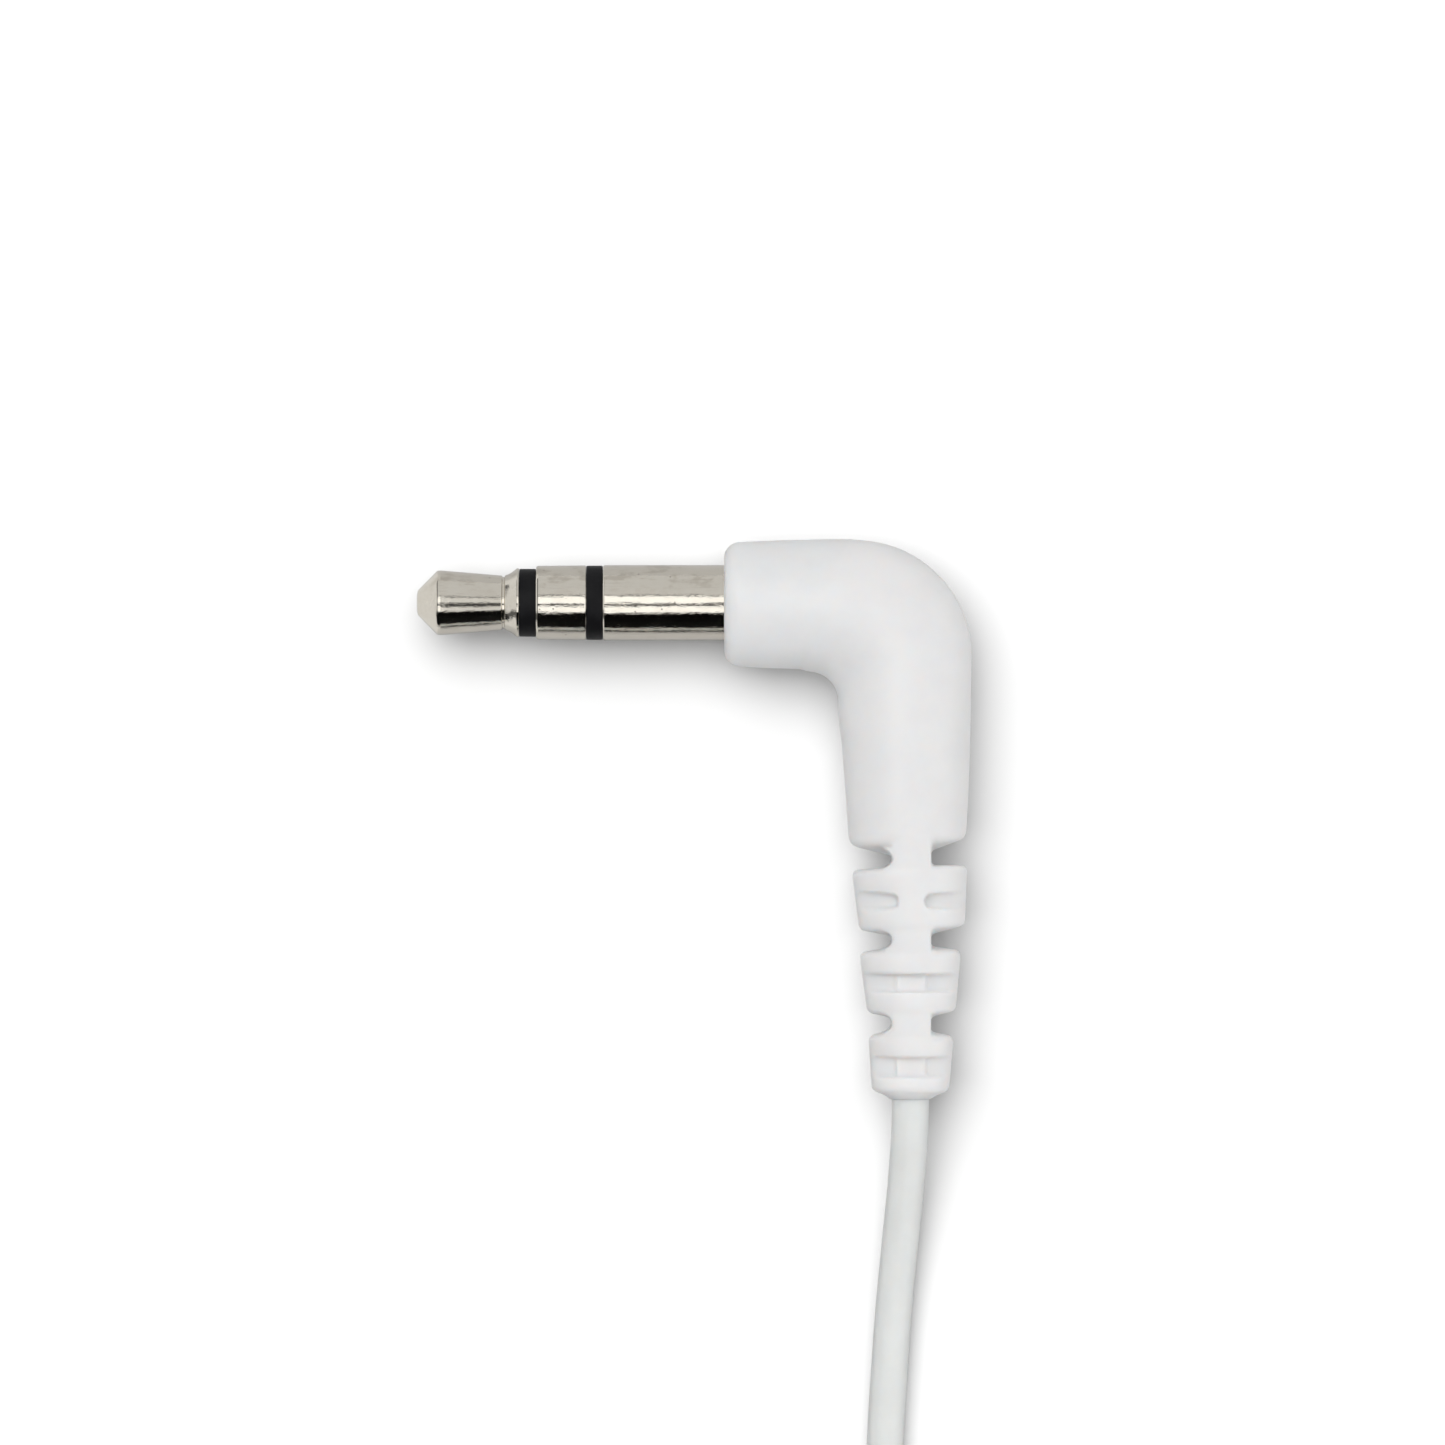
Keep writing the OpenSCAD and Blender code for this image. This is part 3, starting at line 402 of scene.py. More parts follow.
class Wire:
    """A shader socket that takes part in sums as a number does."""

    def __init__(self, shop: "Shader", socket: bpy.types.NodeSocket) -> None:
        """Keeps the shader that the socket belongs to."""
        self.shop = shop
        self.socket = socket

    def _sum(self, operation: str, *values: Any) -> "Wire":
        """Adds a Math node on this socket and other values.

        Args:
            operation: Name of the operation.
            *values: Wires or numbers, in order.

        Returns:
            The result.
        """
        node = self.shop.node("ShaderNodeMath", {"operation": operation},
                              dict(enumerate(values)))
        return Wire(self.shop, node.outputs[0])

    def __add__(self, other: Any) -> "Wire":
        """Adds a value."""
        return self._sum("ADD", self, other)

    def __radd__(self, other: Any) -> "Wire":
        """Adds to a value."""
        return self._sum("ADD", other, self)

    def __sub__(self, other: Any) -> "Wire":
        """Takes a value away."""
        return self._sum("SUBTRACT", self, other)

    def __rsub__(self, other: Any) -> "Wire":
        """Takes this away from a value."""
        return self._sum("SUBTRACT", other, self)

    def __mul__(self, other: Any) -> "Wire":
        """Multiplies by a value."""
        return self._sum("MULTIPLY", self, other)

    def __rmul__(self, other: Any) -> "Wire":
        """Multiplies a value."""
        return self._sum("MULTIPLY", other, self)

    def __truediv__(self, other: Any) -> "Wire":
        """Divides by a value."""
        return self._sum("DIVIDE", self, other)

    def __rtruediv__(self, other: Any) -> "Wire":
        """Divides a value by this."""
        return self._sum("DIVIDE", other, self)

    def atan2(self, other: Any) -> "Wire":
        """Gives the angle whose tangent is this over the other value."""
        return self._sum("ARCTAN2", self, other)

    def at_least(self, low: float) -> "Wire":
        """Gives this, or a lowest value where this is less."""
        return self._sum("MAXIMUM", self, low)

    def ramp(self, start: float, end: float, low: float = 0.0, high: float = 1.0) -> "Wire":
        """Rises smoothly from low at start to high at end.

        Args:
            start: Value at which the rise starts.
            end: Value at which it ends.
            low: Result up to the start.
            high: Result from the end on.

        Returns:
            The result.
        """
        node = self.shop.node(
            "ShaderNodeMapRange", {"interpolation_type": "SMOOTHSTEP"},
            {0: self, 1: start, 2: end, 3: low, 4: high})
        return Wire(self.shop, node.outputs[0])

    def band(self, low: float, high: float, soft: float) -> "Wire":
        """Is 1 between two values and 0 outside, with soft edges."""
        return self.ramp(low - soft, low + soft) * (1 - self.ramp(high - soft, high + soft))


class Shader:
    """Builds the nodes of one material or of the world."""

    def __init__(self, owner: bpy.types.Material | bpy.types.World) -> None:
        """Clears the owner's node tree and prepares its coordinates.

        Args:
            owner: The material or the world.
        """
        owner.use_nodes = True
        self.tree = owner.node_tree
        self.tree.nodes.clear()
        self.coordinates = self.node("ShaderNodeTexCoord")

    def node(self, kind: str, settings: dict[str, Any] | None = None,
             inputs: dict[Any, Any] | None = None) -> bpy.types.Node:
        """Adds a node.

        Args:
            kind: Type of the node.
            settings: Its properties; "stops" gives the stops of a colour ramp.
            inputs: For socket names or numbers, values, wires or sockets.

        Returns:
            The new node.
        """
        node = self.tree.nodes.new(kind)
        for key, value in (settings or {}).items():
            if key == "stops":
                for index, (spot, colour) in enumerate(value):
                    stops = node.color_ramp.elements
                    stop = stops[index] if index < 2 else stops.new(spot)
                    stop.position, stop.color = spot, (*colour, 1)
            else:
                setattr(node, key, value)
        for key, value in (inputs or {}).items():
            socket = node.inputs[key]
            if isinstance(value, Wire):
                value = value.socket
            if isinstance(value, bpy.types.NodeSocket):
                self.tree.links.new(value, socket)
            elif socket.type == "RGBA":
                socket.default_value = (*value[:3], 1)
            else:
                socket.default_value = value
        return node

    def split(self, vector: bpy.types.NodeSocket) -> tuple[Wire, Wire, Wire]:
        """Splits a vector in its three numbers."""
        node = self.node("ShaderNodeSeparateXYZ", inputs={0: vector})
        return tuple(Wire(self, out) for out in node.outputs)

    def noise(self, size_mm: float, stretch: Point = (1, 1, 1), detail: float = 3.0,
              seed: float = 0.0) -> Wire:
        """Gives a noise pattern whose features are about size_mm wide, times stretch.

        Args:
            size_mm: Width of a feature in mm.
            stretch: How much wider it is along X, Y and Z.
            detail: How many finer layers the pattern has.
            seed: Moves the pattern to another place.

        Returns:
            The pattern, from about 0 to 1.
        """
        scale = [1 / (MM * size_mm * s) for s in stretch]
        place = self.node("ShaderNodeMapping", inputs={
            "Vector": self.coordinates.outputs["Object"], "Scale": scale,
            "Location": (seed, seed * 1.7, -seed)})
        node = self.node("ShaderNodeTexNoise", inputs={
            "Vector": place.outputs[0], "Scale": 1.0, "Detail": detail, "Roughness": 0.55})
        return Wire(self, node.outputs["Fac"])

    def cells(self, size_mm: float, seed: float = 0.0) -> Wire:
        """Gives the distance to scattered points about size_mm apart.

        Args:
            size_mm: Distance between the points in mm.
            seed: Moves the points to another place.

        Returns:
            The distance, which is 0 at a point.
        """
        place = self.node("ShaderNodeMapping", inputs={
            "Vector": self.coordinates.outputs["Object"], "Location": (seed, seed, seed),
            "Scale": [1 / (MM * size_mm)] * 3})
        node = self.node("ShaderNodeTexVoronoi", inputs={
            "Vector": place.outputs[0], "Scale": 1.0, "Randomness": 1.0})
        return Wire(self, node.outputs["Distance"])

    def mixed(self, share: Any, first: Any, second: Any) -> bpy.types.NodeSocket:
        """Mixes two colours by a share.

        Args:
            share: Share of the second colour.
            first: The first colour.
            second: The second colour.

        Returns:
            The socket of the mixed colour.
        """
        node = self.node("ShaderNodeMix", {"data_type": "RGBA"},
                         {0: share, 6: first, 7: second})
        return node.outputs[2]

    def bump(self, *layers: tuple[Wire, float]) -> bpy.types.NodeSocket:
        """Stacks bump layers, each a height pattern and its depth in mm.

        Args:
            *layers: The layers, the lowest first.

        Returns:
            The socket of the normal.
        """
        normal = None
        for height, depth in layers:
            inputs = {"Height": height, "Distance": depth * MM, "Strength": 1.0}
            if normal is not None:
                inputs["Normal"] = normal
            normal = self.node("ShaderNodeBump", inputs=inputs).outputs[0]
        return normal

    def surface(self, **inputs: Any) -> None:
        """Ends the material in a Principled surface with these inputs.

        Args:
            **inputs: Values by the input's name, with _ for a space.
        """
        named = {key.replace("_", " "): value for key, value in inputs.items()}
        surface = self.node("ShaderNodeBsdfPrincipled", inputs=named)
        self.node("ShaderNodeOutputMaterial", inputs={"Surface": surface.outputs[0]})


@dataclass(frozen=True)
class Finish:
    """A finish of plastic, rubber, film or felt: mottled colour, grain and specks of dust."""

    slot: str
    colour: Colour
    accent: Colour
    mottle_mm: float = 1.5
    grain_mm: float = 0.08
    grain_depth: float = 0.004
    wave_mm: float = 1.2
    wave_depth: float = 0.01
    stretch: Point = (1, 1, 1)
    rough: tuple[float, float] = (0.4, 0.5)
    specks: float = 0.3
    speck_mm: float = 1.4
    glow: float = 0.0
    glow_mm: float = 0.6
    metal: float = 0.0
    coat: float = 0.0
    sheen: float = 0.0
    shine: float = 0.5

    def material(self) -> bpy.types.Material:
        """Builds the material once and returns it from then on.

        Returns:
            The material.
        """
        name = f"finish_{self.slot}"
        found = bpy.data.materials.get(name)
        if found:
            return found
        material = bpy.data.materials.new(name)
        self.dress(Shader(material))
        return material

    def dress(self, shader: Shader) -> None:
        """Adds the nodes of this finish.

        Args:
            shader: The material's shader.
        """
        mottle = shader.noise(self.mottle_mm, self.stretch, 4.0, 3.1)
        grain = shader.noise(self.grain_mm, self.stretch, 2.0, 7.7)
        wave = shader.noise(self.wave_mm, self.stretch, 1.0, 1.3)
        speck = shader.cells(self.speck_mm, 5.0).ramp(0.05, 0.09, self.specks, 0.0)
        colour = shader.mixed(mottle.ramp(0.35, 0.7), self.colour, self.accent)
        colour = shader.mixed(speck, colour, [0.45 * c for c in self.accent])
        low, high = self.rough
        shader.surface(
            Base_Color=colour, Metallic=self.metal,
            Roughness=(mottle * 0.6 + grain * 0.4).ramp(0.3, 0.7, low, high),
            Normal=shader.bump((wave, self.wave_depth), (grain, self.grain_depth)),
            Subsurface_Weight=self.glow, Subsurface_Radius=(1.0, 0.85, 0.75),
            Subsurface_Scale=self.glow_mm * MM, Coat_Weight=self.coat, Coat_Roughness=0.08,
            Sheen_Weight=self.sheen, Sheen_Roughness=0.4, Specular_IOR_Level=self.shine)


@dataclass(frozen=True)
class NickelPlate(Finish):
    """Worn nickel plating: fine scratches, pits, brown stains on the upper flank, specks."""

    stain: Colour = (0.34, 0.30, 0.24)
    stain_share: float = 0.3
    flank: tuple[float, float] = (0.3, 1.2)
    dirt: Colour = (0.16, 0.13, 0.10)
    dirt_share: float = 0.6
    worn_share: float = 0.28
    dent_depth: float = 0.014
    pit_depth: float = 0.0045
    hairline_depth: float = 0.0024
    scratch_depth: float = 0.0012

    def dress(self, shader: Shader) -> None:
        """Adds the nodes of this finish.

        Args:
            shader: The material's shader.
        """
        _, across, _ = shader.split(shader.coordinates.outputs["Object"])
        scratches = shader.noise(0.05, (14.0, 1.0, 1.0), 3.0, 2.2)
        hairlines = shader.noise(0.11, (24.0, 1.0, 1.0), 2.0, 9.4)
        dents = shader.noise(0.7, (2.0, 1.0, 1.0), 2.0, 4.4)
        pits = shader.noise(0.09, (2.2, 1.0, 1.0), 3.0, 1.9)
        blot = shader.noise(0.55, (1.8, 1.0, 1.0), 5.0, 6.2)
        stains = blot.ramp(0.5, 0.66) * (across / MM).ramp(*self.flank) * self.stain_share
        worn = hairlines.ramp(0.6, 0.72) * self.worn_share
        speck = shader.cells(0.5, 2.0).ramp(0.05, 0.11, self.dirt_share, 0.0)
        colour = shader.mixed(blot.ramp(0.3, 0.7) * 0.5, self.colour, self.accent)
        colour = shader.mixed(stains, colour, self.stain)
        colour = shader.mixed(worn, colour, [0.72 * c for c in self.colour])
        colour = shader.mixed(speck, colour, self.dirt)
        low, high = self.rough
        shader.surface(
            Base_Color=colour, Metallic=1.0,
            Roughness=(scratches * 0.5 + blot * 0.5 + stains * 0.3).ramp(0.3, 0.75, low, high),
            Normal=shader.bump((dents, self.dent_depth), (pits, self.pit_depth),
                               (hairlines, self.hairline_depth),
                               (scratches, self.scratch_depth)))


@dataclass(frozen=True)
class BoardFinish(Finish):
    """Solder mask over copper tracks."""

    def dress(self, shader: Shader) -> None:
        """Adds the nodes of this finish.

        Args:
            shader: The material's shader.
        """
        rows = shader.node("ShaderNodeTexBrick", {"offset": 0.35}, {
            "Vector": shader.coordinates.outputs["Object"], "Scale": 1 / (0.8 * MM),
            "Color1": (0, 0, 0), "Color2": (0, 0, 0), "Mortar": (1, 1, 1),
            "Mortar Size": 0.09, "Mortar Smooth": 0.4, "Row Height": 0.5})
        tracks = Wire(shader, rows.outputs["Fac"])
        blot = shader.noise(0.6, detail=3.0)
        colour = shader.mixed(blot.ramp(0.3, 0.7), self.colour, self.accent)
        colour = shader.mixed(tracks * 0.55, colour, (0.32, 0.5, 0.2))
        shader.surface(
            Base_Color=colour, Roughness=blot.ramp(0.3, 0.7, *self.rough),
            Normal=shader.bump((tracks, 0.03), (shader.noise(0.05), 0.003)),
            Coat_Weight=self.coat, Coat_Roughness=0.1)


@dataclass(frozen=True)
class Palette:
    """The finishes of every material slot."""

    nickel: Finish = NickelPlate("nickel", (0.76, 0.72, 0.64), (0.69, 0.645, 0.56),
                                 rough=(0.05, 0.13))
    black_insulator: Finish = Finish("black_insulator", (0.006, 0.006, 0.007),
                                     (0.012, 0.012, 0.013), rough=(0.4, 0.55), specks=0.0,
                                     grain_depth=0.002, shine=0.1)
    inner_mould: Finish = Finish("inner_mould", (0.78, 0.78, 0.75), (0.7, 0.7, 0.67),
                                 rough=(0.5, 0.65), grain_depth=0.006)
    enamelled_copper: Finish = Finish("enamelled_copper", (0.62, 0.28, 0.13),
                                      (0.45, 0.17, 0.07), metal=0.85, rough=(0.2, 0.35),
                                      stretch=(6, 1, 1), specks=0.1)
    solder: Finish = Finish("solder", (0.6, 0.6, 0.6), (0.42, 0.42, 0.43), metal=1.0,
                            rough=(0.25, 0.5), wave_mm=0.3, wave_depth=0.02)
    white_moulding: Finish = Finish("white_moulding", (0.81, 0.81, 0.812), (0.79, 0.79, 0.795),
                                    rough=(0.4, 0.5), specks=0.0, glow=1.0, glow_mm=1.1,
                                    wave_depth=0.006, grain_depth=0.0012, grain_mm=0.1)
    white_jacket: Finish = Finish("white_jacket", (0.775, 0.79, 0.78), (0.75, 0.765, 0.755),
                                  rough=(0.42, 0.52), specks=0.0, glow=0.5, glow_mm=0.5,
                                  wave_depth=0.012, grain_depth=0.0015)
    tie_plastic: Finish = Finish("tie_plastic", (0.8, 0.8, 0.8), (0.74, 0.74, 0.75),
                                 rough=(0.38, 0.55), stretch=(1, 1, 3), grain_depth=0.003)
    white_shell: Finish = Finish("white_shell", (0.80, 0.805, 0.81), (0.785, 0.79, 0.8),
                                 rough=(0.16, 0.24), coat=0.3, specks=0.15, speck_mm=2.6,
                                 glow=0.15, glow_mm=0.4, wave_mm=3.0, wave_depth=0.008,
                                 grain_depth=0.0005)
    board: Finish = BoardFinish("board", (0.03, 0.16, 0.07), (0.02, 0.12, 0.05),
                                rough=(0.3, 0.45), coat=0.3)
    plated_steel: Finish = Finish("plated_steel", (0.62, 0.62, 0.63), (0.5, 0.5, 0.52),
                                  metal=1.0, rough=(0.18, 0.34), stretch=(4, 1, 1),
                                  specks=0.15, grain_depth=0.002)
    magnet: Finish = Finish("magnet", (0.42, 0.42, 0.44), (0.3, 0.3, 0.32), metal=1.0,
                            rough=(0.22, 0.4), grain_depth=0.004)
    frame_plastic: Finish = Finish("frame_plastic", (0.03, 0.033, 0.037), (0.05, 0.053, 0.06),
                                   rough=(0.5, 0.7), grain_depth=0.008, specks=0.1)
    film: Finish = Finish("film", (0.5, 0.6, 0.7), (0.42, 0.5, 0.62), rough=(0.12, 0.25),
                          wave_mm=0.5, wave_depth=0.02, specks=0.0, coat=0.4)
    felt: Finish = Finish("felt", (0.35, 0.35, 0.36), (0.5, 0.5, 0.51), rough=(0.8, 0.95),
                          grain_mm=0.05, grain_depth=0.03, mottle_mm=0.25, sheen=0.5)
    steel_mesh: Finish = Finish("steel_mesh", (0.58, 0.58, 0.58), (0.44, 0.44, 0.45),
                                metal=1.0, rough=(0.25, 0.4), grain_depth=0.002)
    silicone: Finish = Finish("silicone", (0.78, 0.785, 0.795), (0.74, 0.745, 0.76),
                              rough=(0.34, 0.48), glow=0.5, glow_mm=1.2, specks=0.35,
                              speck_mm=1.8, grain_depth=0.002)

    def material(self, slot: str) -> bpy.types.Material:
        """The material of one slot."""
        return getattr(self, slot).material()


@dataclass
class Dresser:
    """Gives each piece its finish, its body and the nodes that it stands for."""

    palette: Palette = field(default_factory=Palette)
    body: str = "earphones"

    def dress(self, piece: bpy.types.Object, slot: str, *nodes: str,
              body: str | None = None) -> bpy.types.Object:
        """Finishes one piece.

        Args:
            piece: The piece, in metres.
            slot: Its material slot.
            nodes: The CAD nodes that it replaces.
            body: The body that it rides on, if not the earphones.

        Returns:
            The piece.
        """
        piece.data.materials.clear()
        piece.data.materials.append(self.palette.material(slot))
        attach(piece, body or self.body)
        if nodes:
            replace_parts(piece, *nodes)
        LOG.info("%s: %d points", piece.name, len(getattr(piece.data, "vertices", ())))
        return piece

    def dress_nodes(self, frame: dict[str, Any], replaced: set[str]) -> None:
        """Gives each CAD node that still shows the finish of its slot.

        Args:
            frame: The loaded model, with its record and its nodes.
            replaced: Names of the nodes that a piece stands in for.
        """
        for part in frame["record"]["subparts"]:
            name = part["node"]
            if name not in replaced:
                node = frame["nodes"][name]
                node.data.materials.clear()
                node.data.materials.append(self.palette.material(part["material_slot"]))
                LOG.info("node %s: %s", name, part["material_slot"])


@dataclass(frozen=True)
class Dome:
    """The soft light that shades the set, by the direction that it comes from.

    A pair is a strength along X and one along Y.
    """

    low: tuple[float, float] = (0.698, -1.298)
    low_level: float = 0.693
    high: tuple[float, float] = (0.41, 0.832)
    key: Point = (-0.269, 0.247, 0.86)
    key_edge: float = 0.785
    key_power: float = 3.905

    def strength(self, x: Wire, y: Wire, z: Wire) -> Wire:
        """Gives the dome's strength in a direction.

        Args:
            x: Part of the direction along X.
            y: Part of the direction along Y.
            z: Part of the direction along Z.

        Returns:
            The light near the table, the light overhead and the broad key light, in one.
        """
        low = (1 - z) * (x * self.low[0] + y * self.low[1] + self.low_level)
        high = z * (y * self.high[1] + x * self.high[0])
        kx, ky, kz = Vector(self.key).normalized()
        key = (x * kx + y * ky + z * kz).ramp(self.key_edge, 1.0) * self.key_power
        return (low + high + key).at_least(0.0)


@dataclass(frozen=True)
class Reflections:
    """What gloss sees instead: a softbox overhead, a pale wall behind and dark sides.

    Angles are in degrees about X, from straight up, and positive away from the cord. A
    slant is how far a direction leans along X, from 0 to 1.
    """

    box: tuple[float, float] = (-32.0, 19.5)
    box_power: float = 1.35
    wall: tuple[float, float] = (22.0, 23.5)
    wall_power: float = 0.66
    dark: float = 0.002
    line: tuple[float, float] = (-11.0, -3.0)
    line_shade: float = 0.95
    line_slant: tuple[float, float] = (0.04, 0.08)
    tip_line: tuple[float, float] = (-15.0, -1.0)
    tip_line_shade: float = 0.55
    tip_shade: float = 0.42
    tip_slant: tuple[float, float] = (0.1, 0.3)
    left_slant: tuple[float, float] = (0.2, 0.35)
    left_shade: float = 0.85
    end_slant: tuple[float, float] = (0.6, 0.75)
    end_power: float = 0.8
    flare: tuple[float, float] = (-100.0, -52.0)
    flare_slant: tuple[float, float] = (0.5, 0.95)
    flare_shade: float = 0.68

    def strength(self, x: Wire, y: Wire, z: Wire) -> Wire:
        """Gives the strength that gloss sees in a direction.

        Args:
            x: The direction's part along X.
            y: Its part along Y.
            z: Its part along Z.

        Returns:
            The strength.
        """
        angle, left = y.atan2(z) * (180 / math.pi), 0 - x
        box = angle.band(*self.box, 0.8)
        line = angle.band(*self.line, 0.6) * (1 - x.ramp(*self.line_slant)) * self.line_shade
        tip = box * self.tip_shade + angle.band(*self.tip_line, 1) * self.tip_line_shade
        lit = box * self.box_power * (1 - line - tip * x.band(*self.tip_slant, 0.02))
        sides = ((lit + angle.ramp(*self.wall) * self.wall_power)
                 * (1 - left.ramp(*self.left_slant) * self.left_shade) + self.dark)
        under = angle.band(*self.flare, 4) * left.band(*self.flare_slant, 0.02)
        end = left.ramp(*self.end_slant)
        return sides * (1 - end) + end * (self.end_power - under * self.flare_shade)


@dataclass
class Studio:
    """The table, the light and the camera."""

    camera_z: float = 600.0
    camera_x: float = -0.07
    camera_y: float = -5.55
    view_width: float = 66.99
    sensor: float = 36.0
    floor_half: float = 3000.0
    clearance: float = 0.01
    table_shade: float = 0.40
    table_seen: float = 0.505
    gloss_front: tuple[float, ...] = (8.0, 34.0, 0.3, 1.0)
    gloss_left: tuple[float, ...] = (13.0, 16.0, 1.0, 0.1)
    dome: Dome = Dome()
    reflections: Reflections = Reflections()
    lamp: Point = (-0.14, 0.24, 0.96)
    lamp_power: float = 3.65
    lamp_angle: float = 62.0

    def camera(self) -> None:
        """Places the camera straight above the plug."""
        data = bpy.data.cameras.new("camera")
        data.sensor_width = self.sensor
        data.lens = self.sensor * self.camera_z / self.view_width
        data.clip_start, data.clip_end = 0.01, 20.0
        camera = bpy.data.objects.new("camera", data)
        camera.location = [MM * v for v in (self.camera_x, self.camera_y, self.camera_z)]
        bpy.context.collection.objects.link(camera)
        bpy.context.scene.camera = camera

    def table(self) -> bpy.types.Object:
        """Lays a white table that keeps the shadows, and gives it back.

        To gloss it is less white: gloss_front and gloss_left say between which distances
        from the plug, in mm, its shade changes, and from what to what.

        Returns:
            The table.
        """
        half = self.floor_half
        bpy.ops.object.select_all(action="DESELECT")
        bpy.ops.mesh.primitive_plane_add(
            size=2 * half * MM, location=(0, 0, (FLOOR_Z - self.clearance) * MM))
        table = bpy.context.object
        table.name = "table"
        bpy.ops.object.transform_apply(location=True, rotation=True, scale=True)
        material = bpy.data.materials.new("table_white")
        shader = Shader(material)
        path = shader.node("ShaderNodeLightPath")
        seen = Wire(shader, path.outputs["Is Camera Ray"])
        glossy = Wire(shader, path.outputs["Is Glossy Ray"])
        left, ahead, _ = shader.split(shader.coordinates.outputs["Object"])
        dark = (ahead / -MM).ramp(*self.gloss_front) * (left / -MM).ramp(*self.gloss_left)
        paint = shader.node("ShaderNodeBsdfDiffuse", inputs={
            "Color": (self.table_shade + seen * (self.table_seen - self.table_shade))
            * (1 - glossy * dark)})
        shader.node("ShaderNodeOutputMaterial", inputs={"Surface": paint.outputs[0]})
        table.data.materials.append(material)
        return table

    def table_lamp(self, table: bpy.types.Object) -> None:
        """Lights the table alone, so that the set throws a soft shadow on it.

        Args:
            table: The table, which is all that the lamp lights.
        """
        data = bpy.data.lights.new("table_lamp", "SUN")
        data.energy, data.angle = self.lamp_power, math.radians(self.lamp_angle)
        lamp = bpy.data.objects.new("table_lamp", data)
        lamp.rotation_euler = Vector(self.lamp).to_track_quat("Z", "Y").to_euler()
        bpy.context.collection.objects.link(lamp)
        lit = bpy.data.collections.new("lit_by_table_lamp")
        lit.objects.link(table)
        lamp.light_linking.receiver_collection = lit

    def light(self) -> None:
        """Surrounds the set with the dome, with the reflections for gloss, and with white
        for the camera."""
        world = bpy.data.worlds.new("studio")
        bpy.context.scene.world = world
        shader = Shader(world)
        path = shader.node("ShaderNodeLightPath")
        seen = Wire(shader, path.outputs["Is Camera Ray"])
        glossy = Wire(shader, path.outputs["Is Glossy Ray"])
        way = shader.split(shader.coordinates.outputs["Generated"])
        strength = (self.dome.strength(*way) * (1 - glossy)
                    + self.reflections.strength(*way) * glossy)
        strength = strength * (1 - seen) + seen
        background = shader.node("ShaderNodeBackground", inputs={
            "Color": (1, 1, 1), "Strength": strength})
        shader.node("ShaderNodeOutputWorld", inputs={"Surface": background.outputs[0]})

    def build(self) -> None:
        """Sets up the whole studio."""
        self.camera()
        self.table_lamp(self.table())
        self.light()
        bpy.context.scene.view_settings.view_transform = "Standard"


@dataclass
class Coil:
    """A coil of four layers, wound in and out again; the same rule as in the CAD source."""

    centre: Point
    outer: float
    diameter: float
    turns: float
    start: float
    gap: float = 0.45
    layers: int = 4
    rings: int = 24

    def _layer(self, turn: float, per: float) -> float:
        """Height of the coil in layers after some turns."""
        return sum(min(1.0, max(0.0, 2 * (turn - k * per) + 0.5))
                   for k in range(1, self.layers))

    def path(self) -> list[Point]:
        """The coil's centre line; the cord's other stretches hold the points beyond its ends.

        Returns:
            Points in mm, from the outer end of the first layer on.
        """
        step, per = self.diameter + self.gap, self.turns / self.layers
        cx, cy, cz = self.centre
        count = round(self.turns * self.rings)
        points: list[Point] = []
        for index in range(count + 1):
            turn = index / self.rings
            wave = turn / per - 2 * math.floor(turn / per / 2)
            radius = self.outer - step * per * (wave if wave < 1 else 2 - wave)
            angle = math.radians(self.start - 360 * turn)
            points.append((cx + radius * math.cos(angle), cy + radius * math.sin(angle),
                           cz + step * self._layer(turn, per)))
        return points


@dataclass
class Cord:
    """One cord: a curve through the points of its route."""

    name: str
    diameter: float
    points: Sequence[Point]

    def curve(self) -> bpy.types.Object:
        """Makes the cord as one open spline with smooth handles.

        Returns:
            The cord.
        """
        data = bpy.data.curves.new(self.name, "CURVE")
        data.dimensions = "3D"
        data.bevel_depth = self.diameter / 2 * MM
        data.bevel_resolution = 6
        data.resolution_u = 5
        data.use_fill_caps = True
        spline = data.splines.new("BEZIER")
        spline.bezier_points.add(len(self.points) - 1)
        for knot, point in zip(spline.bezier_points, self.points):
            knot.co = [MM * v for v in point]
            knot.handle_left_type = knot.handle_right_type = "AUTO"
        cord = bpy.data.objects.new(self.name, data)
        bpy.context.collection.objects.link(cord)
        return cord

    @property
    def length(self) -> float:
        """Length of the route in metres."""
        return MM * sum(math.dist(a, b) for a, b in zip(self.points, self.points[1:]))


